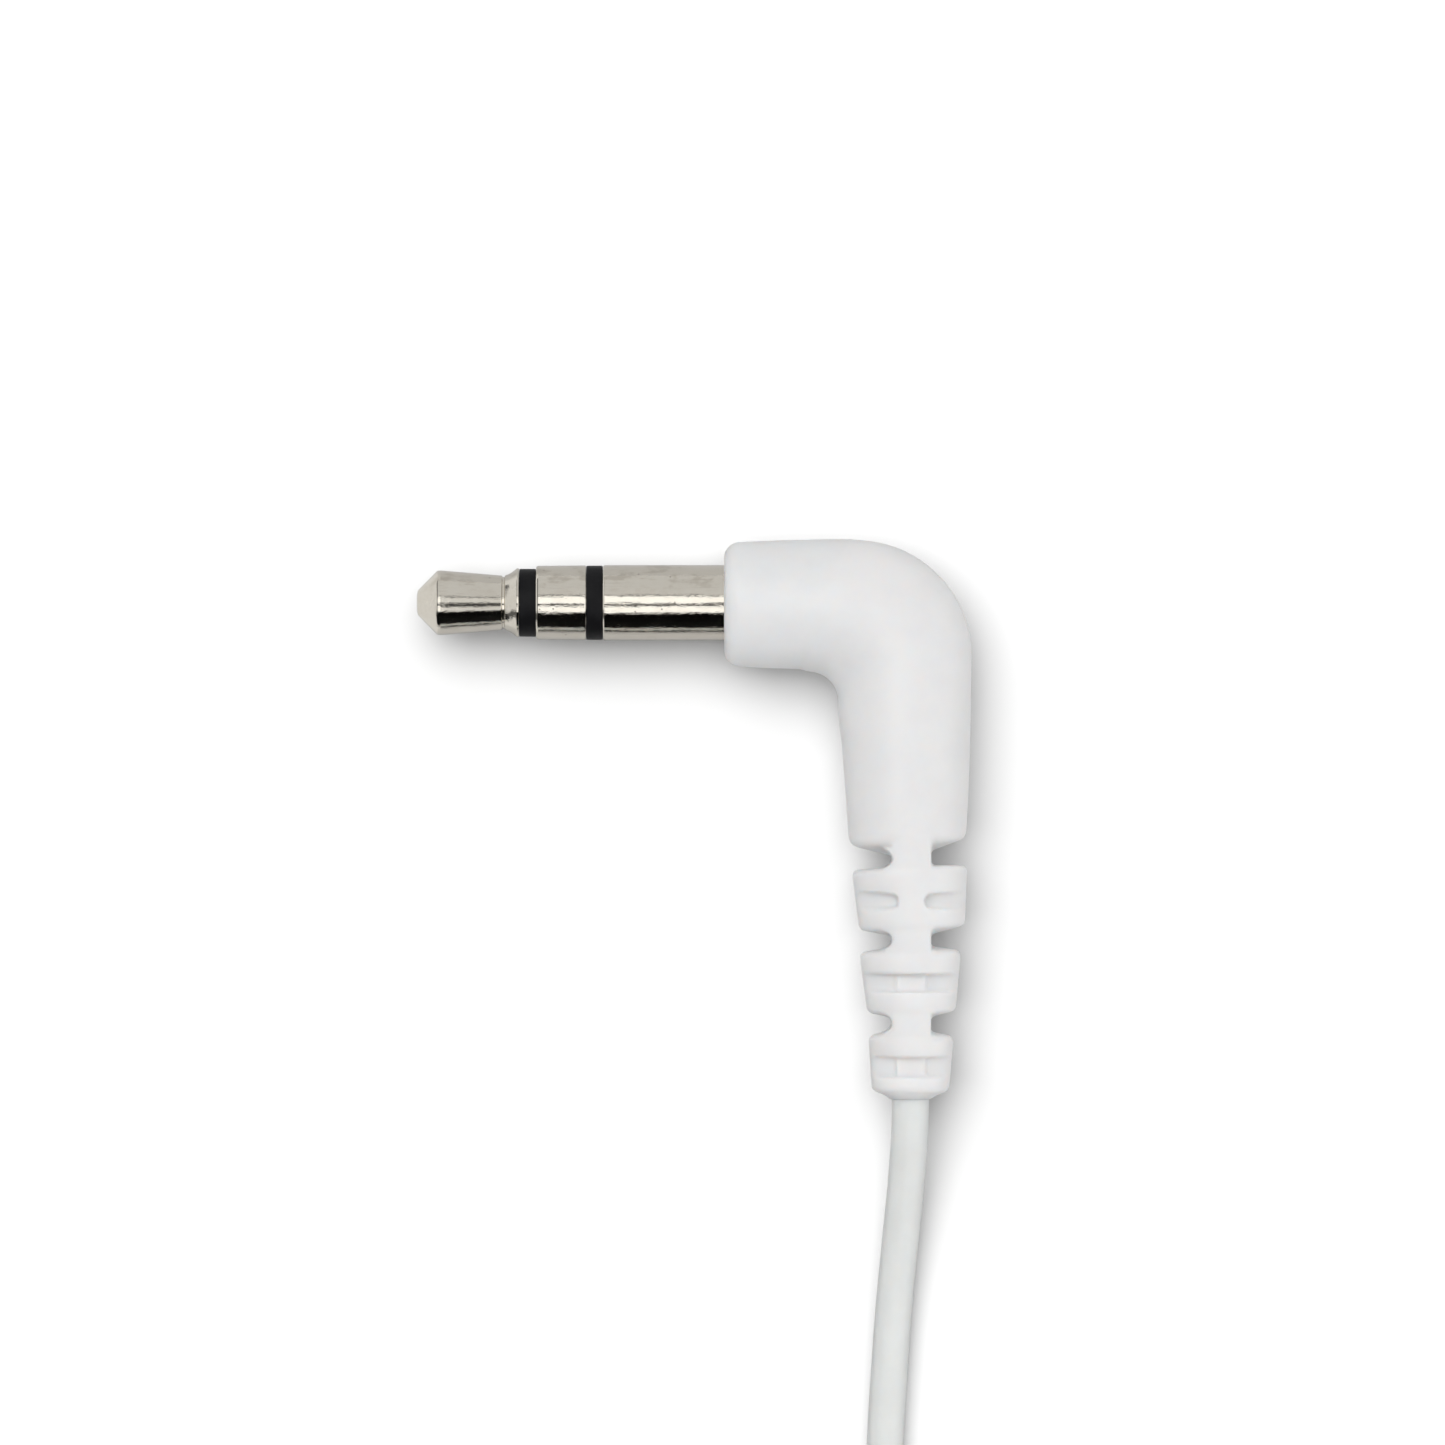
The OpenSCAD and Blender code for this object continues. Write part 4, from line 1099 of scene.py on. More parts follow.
@dataclass
class Cords:
    """The main cord, the two branch cords and the ties round their coils."""

    main_d: float = 1.7
    branch_d: float = 1.2
    tie_room: float = 0.1
    tie_w: float = 2.5
    tie_t: float = 0.3
    lead: Sequence[Point] = (
        (8.66, -7, 0), (8.66, -11, 0), (8.66, -15, 0), (8.66, -19, 0), (8.66, -22.6, 0),
        (8.6, -24.8, -0.33), (8.42, -27.3, -1.02), (8.16, -30, -1.6), (7.9, -32.8, -1.93),
        (7.7, -35.6, -2.06), (7.53, -38.4, -2.1), (7.42, -42, -2.1), (7.35, -46, -1.98),
        (7.31, -49.5, -1.83), (7.3, -52.6, -1.77), (7.3, -55.7, -1.77))
    tail: Sequence[Point] = (
        (-7, -70, 4.68), (-9.5, -70, 4.5), (-12.2, -70, 3.5), (-15, -70, 1.7),
        (-17.8, -70, -0.1), (-20.4, -70, -1.2), (-22.8, -70, -1.52), (-26, -70, -1.52))
    branch_lead: Sequence[Point] = (
        (-33, -68.9, -1.52), (-36, -68.9, -1.52), (-39, -68.9, -1.52), (-42, -68.9, -1.52),
        (-45, -68.9, -1.52), (-48, -68.9, -1.52), (-51.6, -68.9, -1.52), (-53.6, -68.9, -1.9),
        (-54.8, -68.9, -2.02), (-55.8, -68.9, -2.02))
    branch_tail: Sequence[Point] = (
        (-58.2, -68.9, 2.93), (-60.3, -68.7, 2.75), (-62.7, -67.7, 1.95), (-65, -66, 0.85),
        (-67.2, -64.1, 0), (-69.2, -62.9, -0.2), (-71, -62.5, -0.25), (-73.5, -62.5, -0.25),
        (-76, -62.5, -0.25), (-79.4, -62.5, -0.25))
    main_coil: Coil = field(default_factory=lambda: Coil(
        (-5.3, -57.4, -1.77), 12.6, 1.7, 12.25, 0.0))
    branch_coil: Coil = field(default_factory=lambda: Coil(
        (-57.0, -60.7, -2.02), 8.2, 1.2, 8.0, -90.0))

    def make(self, dresser: Dresser) -> dict[str, Cord]:
        """Makes and dresses the three cords, which come first.

        Args:
            dresser: Gives the cords their finish and body.

        Returns:
            The cords by name.
        """
        main = Cord("main_cord", self.main_d, [*self.lead, *self.main_coil.path(), *self.tail])
        cords = {"main": main}
        for side in Side:
            points = [*self.branch_lead, *self.branch_coil.path(), *self.branch_tail]
            cords[side.label] = Cord(f"{side.label}_branch_cord", self.branch_d,
                                     side.mirrored(points))
        for label, cord in cords.items():
            prefix = "" if label == "main" else f"{label}_"
            nodes = [f"{prefix}cord_{part}" for part in ("lead", "coil", "tail")]
            dresser.dress(cord.curve(), "white_jacket", *nodes)
        return cords

    def tie(self, name: str, coil: Coil, angle: float) -> bpy.types.Object:
        """Makes a tie round one side of a coil: a flat band and its twisted ends.

        Args:
            name: Name of the tie.
            coil: The coil that it holds.
            angle: Side of the coil, in degrees about its centre.

        Returns:
            The tie, in millimetres.
        """
        spread, cosine, sine = [], math.cos(math.radians(angle)), math.sin(math.radians(angle))
        for x, y, _ in coil.path():
            dx, dy = x - coil.centre[0], y - coil.centre[1]
            along, across = dx * cosine + dy * sine, dy * cosine - dx * sine
            if along > 0 and abs(across) < 0.5:
                spread.append(along)
        half_d = coil.diameter / 2
        low = min(spread) - half_d - self.tie_room - (self.tie_w / 2) ** 2 / (2 * min(spread))
        high = max(spread) + half_d + self.tie_room
        tall = (coil.diameter + coil.gap) * (coil.layers - 1) + coil.diameter + 2 * self.tie_room
        wide = high - low
        band = self._band(name, wide, tall, half_d)
        twist = self._twist(name + "_ends", wide, tall)
        tie = Bench.joined(name, band, twist)
        place = (Matrix.Translation((coil.centre[0], coil.centre[1],
                                     FLOOR_Z + self.tie_t + tall / 2))
                 @ Matrix.Rotation(math.radians(angle), 4, "Z")
                 @ Matrix.Translation(((low + high) / 2, 0, 0)))
        return Bench.placed(tie, place)

    def _band(self, name: str, wide: float, tall: float, rounding: float) -> bpy.types.Object:
        """Bends the band: a frame with round corners, with fine grooves along both faces.

        Args:
            name: Name of the piece.
            wide: Width of what it holds, in mm.
            tall: Height of what it holds, in mm.
            rounding: Radius of the inner corners in mm.

        Returns:
            The band, round the origin.
        """
        grow = self.tie_t
        outer = self._frame(name, wide + 2 * grow, tall + 2 * grow, rounding + grow, self.tie_w)
        hole = self._frame(name + "_hole", wide, tall, rounding, self.tie_w * 2)
        band = Bench.combined(outer, hole)
        for offset in (-0.34, 0.0, 0.34):
            for face in (-1, 1):
                groove = Bench.block(
                    "groove", (-wide / 2 + 0.6, offset * self.tie_w - 0.1, -0.05),
                    (wide / 2 - 0.6, offset * self.tie_w + 0.1, 0.05), 0.03,
                    Matrix.Translation((0, 0, face * (tall / 2 + grow))))
                Bench.combined(band, groove)
        return Bench.modified(band, "BEVEL", width=0.06, segments=2, limit_method="ANGLE",
                              angle_limit=math.radians(50))

    def _frame(self, name: str, wide: float, tall: float, rounding: float,
               depth: float) -> bpy.types.Object:
        """Makes a block whose four edges along Y are round.

        Args:
            name: Name of the piece.
            wide: Size along X in mm.
            tall: Size along Z in mm.
            rounding: Radius of the four edges in mm.
            depth: Size along Y in mm.

        Returns:
            The block, round the origin.
        """
        bpy.ops.object.select_all(action="DESELECT")
        bpy.ops.mesh.primitive_cube_add(size=1, enter_editmode=True, location=(0, 0, 0))
        bpy.ops.mesh.select_all(action="SELECT")
        bpy.ops.transform.resize(value=(wide, depth, tall), center_override=(0, 0, 0))
        bpy.ops.mesh.select_mode(type="EDGE")
        bpy.ops.mesh.select_all(action="DESELECT")
        mesh = bmesh.from_edit_mesh(bpy.context.object.data)
        for edge in mesh.edges:
            run = edge.verts[0].co - edge.verts[1].co
            edge.select_set(abs(run.y) > depth / 2)
        bmesh.update_edit_mesh(bpy.context.object.data)
        bpy.ops.mesh.bevel(offset=rounding, segments=6, affect="EDGES")
        return Bench._close(name, Matrix())

    def _twist(self, name: str, wide: float, tall: float) -> bpy.types.Object:
        """Twists the tie's two ends together in a flat ribbon that lies on the band.

        Args:
            name: Name of the piece.
            wide: Width of what the band holds, in mm.
            tall: Height of what the band holds, in mm.

        Returns:
            The ribbon, above the origin.
        """
        steps, thick = 26, 0.74
        length = wide - 0.2
        bpy.ops.object.select_all(action="DESELECT")
        bpy.ops.mesh.primitive_circle_add(
            vertices=12, radius=thick / 2, fill_type="NGON", enter_editmode=True,
            location=(-length / 2, 0, 0), rotation=(0, math.pi / 2, 0))
        bpy.ops.mesh.select_all(action="SELECT")
        bpy.ops.transform.resize(value=(1, 0.55, 1), center_override=(0, 0, 0))
        for _ in range(steps):
            bpy.ops.mesh.extrude_region_move(
                TRANSFORM_OT_translate={"value": (length / steps, 0, 0)})
            bpy.ops.transform.rotate(value=math.radians(32), orient_axis="X",
                                     center_override=(0, 0, 0))
        height = tall / 2 + self.tie_t + thick / 2 - 0.06
        return Bench._close(name, Matrix.Translation((0, 0, height)))

    def ties(self, dresser: Dresser) -> dict[str, bpy.types.Object]:
        """Makes the three ties.

        Args:
            dresser: Gives the ties their finish and body.

        Returns:
            The ties by the name of their cord.
        """
        ties = {"main": self.tie("main_tie", self.main_coil, 180)}
        left = self.tie("left_tie", self.branch_coil, 90)
        mirror = Matrix.Translation((0, 2 * ROW_Y, 0)) @ Matrix.Diagonal((1, -1, 1, 1))
        ties["right"] = Bench.copied(left, "right_tie", mirror)
        ties["left"] = left
        for label, tie in ties.items():
            node = "cord_tie" if label == "main" else f"{label}_cord_tie"
            dresser.dress(Bench.finished(tie), "tie_plastic", node)
        return ties


@dataclass
class Plug:
    """The plug: five turned contacts and bands, and the moulded housing with its relief.

    The beads and the necks between them are the arguments of _bead and _neck. A channel
    has its upper and lower edge, and the half width and half height of the core under it.
    """

    sides: int = 160
    arm_r: float = 3.02
    arm_y: float = -0.06
    elbow: tuple[float, float] = (6.06, -2.42)
    elbow_r: float = 5.33
    fillet: tuple[float, float] = (3.93, -4.56)
    fillet_r: float = 1.36
    relief_x: float = 8.66
    neck_half: float = 0.92
    voxel: float = 0.085
    beads: Sequence[Corner] = (
        (12.19, 15.05, 2.68, 2.455, 0.07, 2.7), (15.91, 18.95, 2.365, 2.05, 0.24, 1.3),
        (19.84, 22.60, 1.98, 1.79, 0.22, -0.8, 0.38))
    necks: Sequence[Point] = ((11.50, 12.20, 2.66), (15.26, 15.96, 2.36), (19.12, 19.82, 1.98))
    scoop_y: float = -13.82
    channels: Sequence[tuple[float, float, float, float]] = (
        (-17.16, -18.02, 2.2, 1.62), (-21.0, -21.96, 1.9, 1.38))
    ridge_half: float = 0.685

    def contacts(self, dresser: Dresser) -> list[bpy.types.Object]:
        """Turns the contacts and the black bands between them.

        Args:
            dresser: Gives the pieces their finish and body.

        Returns:
            The five pieces.
        """
        tip = softened([
            (-14.23, 0), (-14.235, 0.40), (-14.19, 0.58, 0.12), (-13.40, 1.38, 0.2),
            (-13.29, 1.49, 0.14), (-13.12, 1.50, 0.1), (-10.30, 1.262, 0.05),
            (-10.26, 1.20), (-10.18, 1.20), (-10.14, 1.27, 0.05), (-9.98, 1.33),
            (-9.84, 1.41), (-9.70, 1.52), (-9.60, 1.60, 0.05), (-9.50, 1.60, 0.03),
            (-9.50, 0.50), (4.18, 0.50), (4.20, 0)])
        ring = softened([
            (-8.70, 0.79), (-8.70, 1.66), (-8.64, 1.70, 0.04), (-8.60, 1.712, 0.03),
            (-6.46, 1.73, 0.03), (-6.40, 1.715, 0.02), (-6.40, 1.04), (3.20, 1.04),
            (3.20, 0.79)], closed=True)
        sleeve = softened([
            (-5.60, 1.33), (-5.60, 1.70), (-5.54, 1.748, 0.04), (0.10, 1.75), (0.10, 1.55),
            (0.60, 1.55), (0.60, 2.10, 0.05), (1.20, 2.10, 0.05), (1.20, 1.33)], closed=True)
        front_band = softened([
            (-9.48, 0.52), (-9.48, 1.565, 0.03), (-9.40, 1.57, 0.02), (-8.80, 1.57, 0.02),
            (-8.72, 1.565, 0.03), (-8.72, 0.77), (3.70, 0.77), (3.70, 0.52)], closed=True)
        rear_band = softened([
            (-6.38, 1.06), (-6.38, 1.70, 0.02), (-6.30, 1.72, 0.02), (-5.70, 1.72, 0.02),
            (-5.62, 1.70, 0.02), (-5.62, 1.31), (1.70, 1.31), (1.70, 1.06)], closed=True)
        made = [
            ("plug_tip", tip, False, "nickel", "tip_contact"),
            ("plug_ring", ring, True, "nickel", "ring_contact"),
            ("plug_sleeve", sleeve, True, "nickel", "sleeve_contact"),
            ("front_band", front_band, True, "black_insulator", "tip_insulator"),
            ("rear_band", rear_band, True, "black_insulator", "ring_insulator")]
        return [dresser.dress(
            Bench.finished(Bench.turned(name, profile, Along.X.at(), self.sides, tube)),
            slot, node) for name, profile, tube, slot, node in made]

    def _arm_sections(self) -> list[tuple[Vector, Vector, float]]:
        """Sections of the housing from its front face round the elbow to the lower arm.

        Returns:
            For each section its inner point, its outer point and its half height in mm.
        """
        sections = []
        front = softened([(0.04, 0.2), (0.0, 1.9), (0.02, 2.42, 0.3), (0.3, 2.76, 0.5),
                          (0.62, 2.88, 0.8), (1.8, 2.955, 2.0), (3.2, 3.0, 2.0), (4.4, 3.015)])
        for x, radius in front:
            inner = min(x, self.fillet[0]) * self.fillet[0] / 4.4
            outer = x * self.elbow[0] / 4.4
            sections.append((Vector((inner if x > 0.7 else x, self.arm_y - radius)),
                             Vector((outer if x > 0.7 else x, self.arm_y + radius)), radius))
        steps = 18
        for step in range(steps + 1):
            angle = math.radians(90 * step / steps)
            way = Vector((math.sin(angle), math.cos(angle)))
            outer_r = self.elbow_r + 0.09 * math.sin(angle) ** 2
            sections.append((Vector(self.fillet) + self.fillet_r * way,
                             Vector(self.elbow) + outer_r * way, self.arm_r))
        for y_in, y_out, middle, radius in (
                (-5.0, -3.6, 8.38, 3.08), (-5.6, -4.9, 8.40, 3.045), (-6.4, -6.1, 8.44, 2.98),
                (-7.6, -7.6, 8.465, 2.92), (-9.1, -9.1, 8.49, 2.835), (-10.2, -10.2, 8.50, 2.765),
                (-10.8, -10.6, 8.505, 2.735), (-11.04, -10.76, 8.51, 2.68),
                (-11.2, -10.92, 8.51, 2.58), (-11.29, -11.01, 8.51, 2.43),
                (-11.38, -11.11, 8.51, 2.15), (-11.66, -11.54, 8.51, 1.0),
                (-11.72, -11.66, 8.51, 0.3)):
            sections.append((Vector((middle - radius, y_in)), Vector((middle + radius, y_out)),
                             min(radius, self.arm_r)))
        return sections

    def _bead(self, top: float, bottom: float, r_top: float, r_bottom: float, crown: float,
              tilt: float, slope: float = 0.23) -> bpy.types.Object:
        """Turns one bead of the relief and tilts it.

        Args:
            top: Distance from the shoulder to the bead's upper face.
            bottom: Distance to the lower edge of its side.
            r_top: Radius at the upper edge.
            r_bottom: Radius at the lower edge.
            crown: How far the upper face slopes down to its edge.
            tilt: Turn about the bead's middle, in degrees.
            slope: Slope of the lower face.

        Returns:
            The bead, in millimetres.
        """
        profile = softened([
            (top, 0.0), (top + 0.1 * crown, self.neck_half), (top + crown, r_top, 0.34),
            (bottom, r_bottom, 0.3), (bottom + slope * (r_bottom - 0.9), 0.9),
            (bottom + slope * r_bottom, 0.0)], steps=6)
        middle = (top + bottom) / 2
        place = (Matrix.Translation((self.relief_x, -middle, 0))
                 @ Matrix.Rotation(math.radians(tilt), 4, "Z")
                 @ Matrix.Translation((0, middle, 0)) @ Along.MINUS_Y.at())
        return Bench.turned("bead", profile, place, 96)

    def _neck(self, top: float, bottom: float, radius: float) -> bpy.types.Object:
        """Makes the web between two beads: flat sides, a round hollow at its left end.

        Args:
            top: Where it starts, in mm down the relief.
            bottom: Where it ends, in mm down the relief.
            radius: Radius of the web in mm.

        Returns:
            The web.
        """
        web = Bench.turned("web", [(top - 0.8, 0), (top - 0.8, radius + 0.06),
                                   (bottom + 0.8, radius - 0.1), (bottom + 0.8, 0)],
                           Along.MINUS_Y.at(self.relief_x, 0, 0), 96)
        reach, round_r, left = 4.0, (bottom - top) / 2, self.relief_x - self.neck_half
        slab = Bench.block("slab", (left, -bottom - 0.7, -reach),
                           (self.relief_x + self.neck_half, -top + 0.7, reach))
        foot = Bench.block("foot", (left - round_r, -bottom - 0.12, -reach),
                           (left + 0.1, -top + 0.12, reach))
        Bench.combined(slab, foot, "UNION")
        Bench.combined(web, slab, "INTERSECT")
        hollow = Bench.turned(
            "hollow", [(-reach, 0), (-reach, round_r + 0.05), (reach, round_r + 0.05), (reach, 0)],
            Along.Z.at(left - round_r, -(top + bottom) / 2, 0), 32)
        return Bench.combined(web, hollow)

    def _slots(self) -> list[bpy.types.Object]:
        """Makes the cutters of the slots in the top and the bottom of the beads.

        The first bead has a scoop on each side of a rib, wider at its outer end. The others
        have a channel right across, with the ridge of the core in its middle. All run out
        at the beads' sides.

        Returns:
            The cutters, in millimetres.
        """
        middle, reach, y = self.relief_x, 4.0, self.scoop_y
        cutters = []
        for face in (-1, 1):
            for side in (-1, 1):
                scoop = Bench.loft("scoop", [
                    (Vector((middle + side * x, y - half)),
                     Vector((middle + side * x, y + half * 1.1)), 2.2)
                    for x, half in ((0.60, 0.10), (0.68, 0.25), (0.84, 0.33), (1.4, 0.37),
                                    (1.9, 0.42), (2.3, 0.5), (3.2, 0.7))], 32)
                Bench.placed(scoop, Matrix.Translation((0, 0, face * 2.25)))
                cutters.append(Bench.combined(scoop, self._core(y, 2.58, 2.0)))
            for top, bottom, wide, tall in self.channels:
                low, high = sorted((face * 0.1, face * reach))
                channel = Bench.block("channel", (middle - 3.2, bottom, low),
                                      (middle + 3.2, top, high), 0.1)
                Bench.combined(channel, self._core((top + bottom) / 2, wide, tall))
                low, high = sorted((0, face * (tall + 0.1)))
                ridge = Bench.block("ridge", (middle - self.ridge_half, bottom - 0.1, low),
                                    (middle + self.ridge_half, top + 0.1, high), 0.05)
                cutters.append(Bench.combined(channel, ridge))
        return cutters

    def _core(self, y: float, wide: float, tall: float) -> bpy.types.Object:
        """Makes the oval core that a slot leaves, with its half width and half height.

        Args:
            y: Its middle along Y in mm.
            wide: Its half width in mm.
            tall: Its half height in mm.

        Returns:
            The core.
        """
        squash = Matrix.Diagonal((1, 1, tall / wide, 1))
        return Bench.turned("core", [(-1.5, 0), (-1.5, wide), (1.5, wide), (1.5, 0)],
                            squash @ Along.MINUS_Y.at(self.relief_x, y, 0), 96)

    def housing(self, dresser: Dresser) -> bpy.types.Object:
        """Moulds the housing and its relief as one soft piece.

        Args:
            dresser: Gives the housing its finish and body.

        Returns:
            The housing.
        """
        parts = [Bench.loft("housing", self._arm_sections(), 96)]
        parts += [self._bead(*bead) for bead in self.beads]
        parts += [self._neck(*neck) for neck in self.necks]
        parts.append(Bench.turned(
            "cord_end", softened([(22.2, 0), (22.2, 1.3), (22.75, 1.25, 0.3), (23.02, 0.95, 0.1),
                                  (23.05, 0)]), Along.MINUS_Y.at(self.relief_x, 0, 0), 64))
        body = Bench.joined("housing_moulding", *parts)
        Bench.moulded(body, self.voxel, 1)
        for cutter in self._slots():
            Bench.combined(body, cutter)
        Bench.moulded(body, self.voxel, 6)
        hollow = Bench.turned("hollow", [
            (-1.0, 0), (-1.0, 1.77), (0.12, 1.77), (0.12, 1.57), (0.58, 1.57), (0.58, 2.12),
            (1.2, 2.12), (1.2, 2.17), (5.02, 2.17), (5.02, 0)], Along.X.at(), 96)
        Bench.combined(body, hollow)
        return dresser.dress(Bench.finished(body, 60), "white_moulding", "plug_housing")


@dataclass
class SplitAndSlider:
    """The Y split and the slider: turned beads with two flat faces."""

    split_x: float = -24.0
    split_len: float = 11.0
    split_w: float = 5.6
    slider_x: float = -43.5
    slider_len: float = 6.0
    slider_w: float = 5.4
    thick: float = 3.0
    gap: float = 2.2
    voxel: float = 0.09

    def _flattened(self, bead: bpy.types.Object) -> bpy.types.Object:
        """Cuts the two flat faces of a bead.

        Args:
            bead: The bead, which is round.

        Returns:
            The same bead.
        """
        reach = 30.0
        slab = Bench.block("slab", (-90, ROW_Y - reach, FLOOR_Z + 0.02),
                           (0, ROW_Y + reach, FLOOR_Z + self.thick - 0.02))
        return Bench.combined(bead, slab, "INTERSECT")

    def _bores(self, x0: float, x1: float, radius: float) -> list[bpy.types.Object]:
        """Makes the two cutters for the branch cords between two places.

        Args:
            x0: Where the bores start along X, in mm.
            x1: Where they end along X, in mm.
            radius: Their radius in mm.

        Returns:
            The two cutters.
        """
        return [Bench.turned(
            "bore", [(x0, 0), (x0, radius), (x1, radius), (x1, 0)],
            Along.X.at(0, ROW_Y + side.value * self.gap / 2, FLOOR_Z + self.thick / 2), 48)
            for side in Side]

    def build(self, dresser: Dresser) -> dict[str, bpy.types.Object]:
        """Makes the split and the slider.

        Args:
            dresser: Gives them their finish and body.

        Returns:
            The two pieces by name.
        """
        x, length, half = self.split_x, self.split_len, self.split_w / 2
        place = Along.X.at(0, ROW_Y, FLOOR_Z + self.thick / 2)
        split = Bench.turned("cord_split", softened([
            (x - length + 0.02, 0), (x - length + 0.02, half - 0.8, 0.4),
            (x - length + 0.7, half - 0.02, 0.7), (x - length * 0.75, half - 0.02, 3.0),
            (x - length * 0.4, half * 0.84, 3.0), (x - 0.5, half * 0.63, 0.5),
            (x - 0.02, half * 0.5, 0.2), (x - 0.02, 0)]), place, 96)
        self._flattened(split)
        Bench.moulded(split, self.voxel, 4)
        for cutter in (*self._bores(x - length - 1, x - length + 2.02, 0.62), Bench.turned(
                "bore", [(x - 2.02, 0), (x - 2.02, 0.87), (x + 1, 0.87), (x + 1, 0)], place, 48)):
            Bench.combined(split, cutter)
        room = Bench.block("room", (x - length + 2, ROW_Y - 1.5, FLOOR_Z + 0.65),
                           (x - 2, ROW_Y + 1.5, FLOOR_Z + 2.35))
        Bench.combined(split, room)
        x, end = self.slider_x, self.slider_len / 2 - 0.02
        half = self.slider_w / 2
        slider = Bench.turned("slider", softened([
            (x - end, 0), (x - end, half - 0.9, 0.3), (x - end + 0.5, half - 0.25, 0.4),
            (x - end * 0.6, half - 0.12, 0.8), (x, half - 0.02, 3.0),
            (x + end * 0.6, half - 0.12, 0.8), (x + end - 0.5, half - 0.25, 0.4),
            (x + end, half - 0.9, 0.3), (x + end, 0)]), place, 96)
        self._flattened(slider)
        for rib in (-0.9, -0.3, 0.3, 0.9):
            for side in Side:
                groove = Bench.turned(
                    "groove", [(-0.6, 0), (-0.6, 0.14), (0.6, 0.14), (0.6, 0)],
                    Along.Z.at(x + rib, ROW_Y + side.value * (half + 0.02),
                               FLOOR_Z + self.thick / 2), 16)
                Bench.combined(slider, groove)
        Bench.moulded(slider, self.voxel, 3)
        for cutter in self._bores(x - 4, x + 4, 0.68):
            Bench.combined(slider, cutter)
        return {
            "split": dresser.dress(Bench.finished(split, 50), "white_moulding", "split_cover"),
            "slider": dresser.dress(Bench.finished(slider, 50), "white_moulding",
                                    "cord_slider", body="cord_slider")}


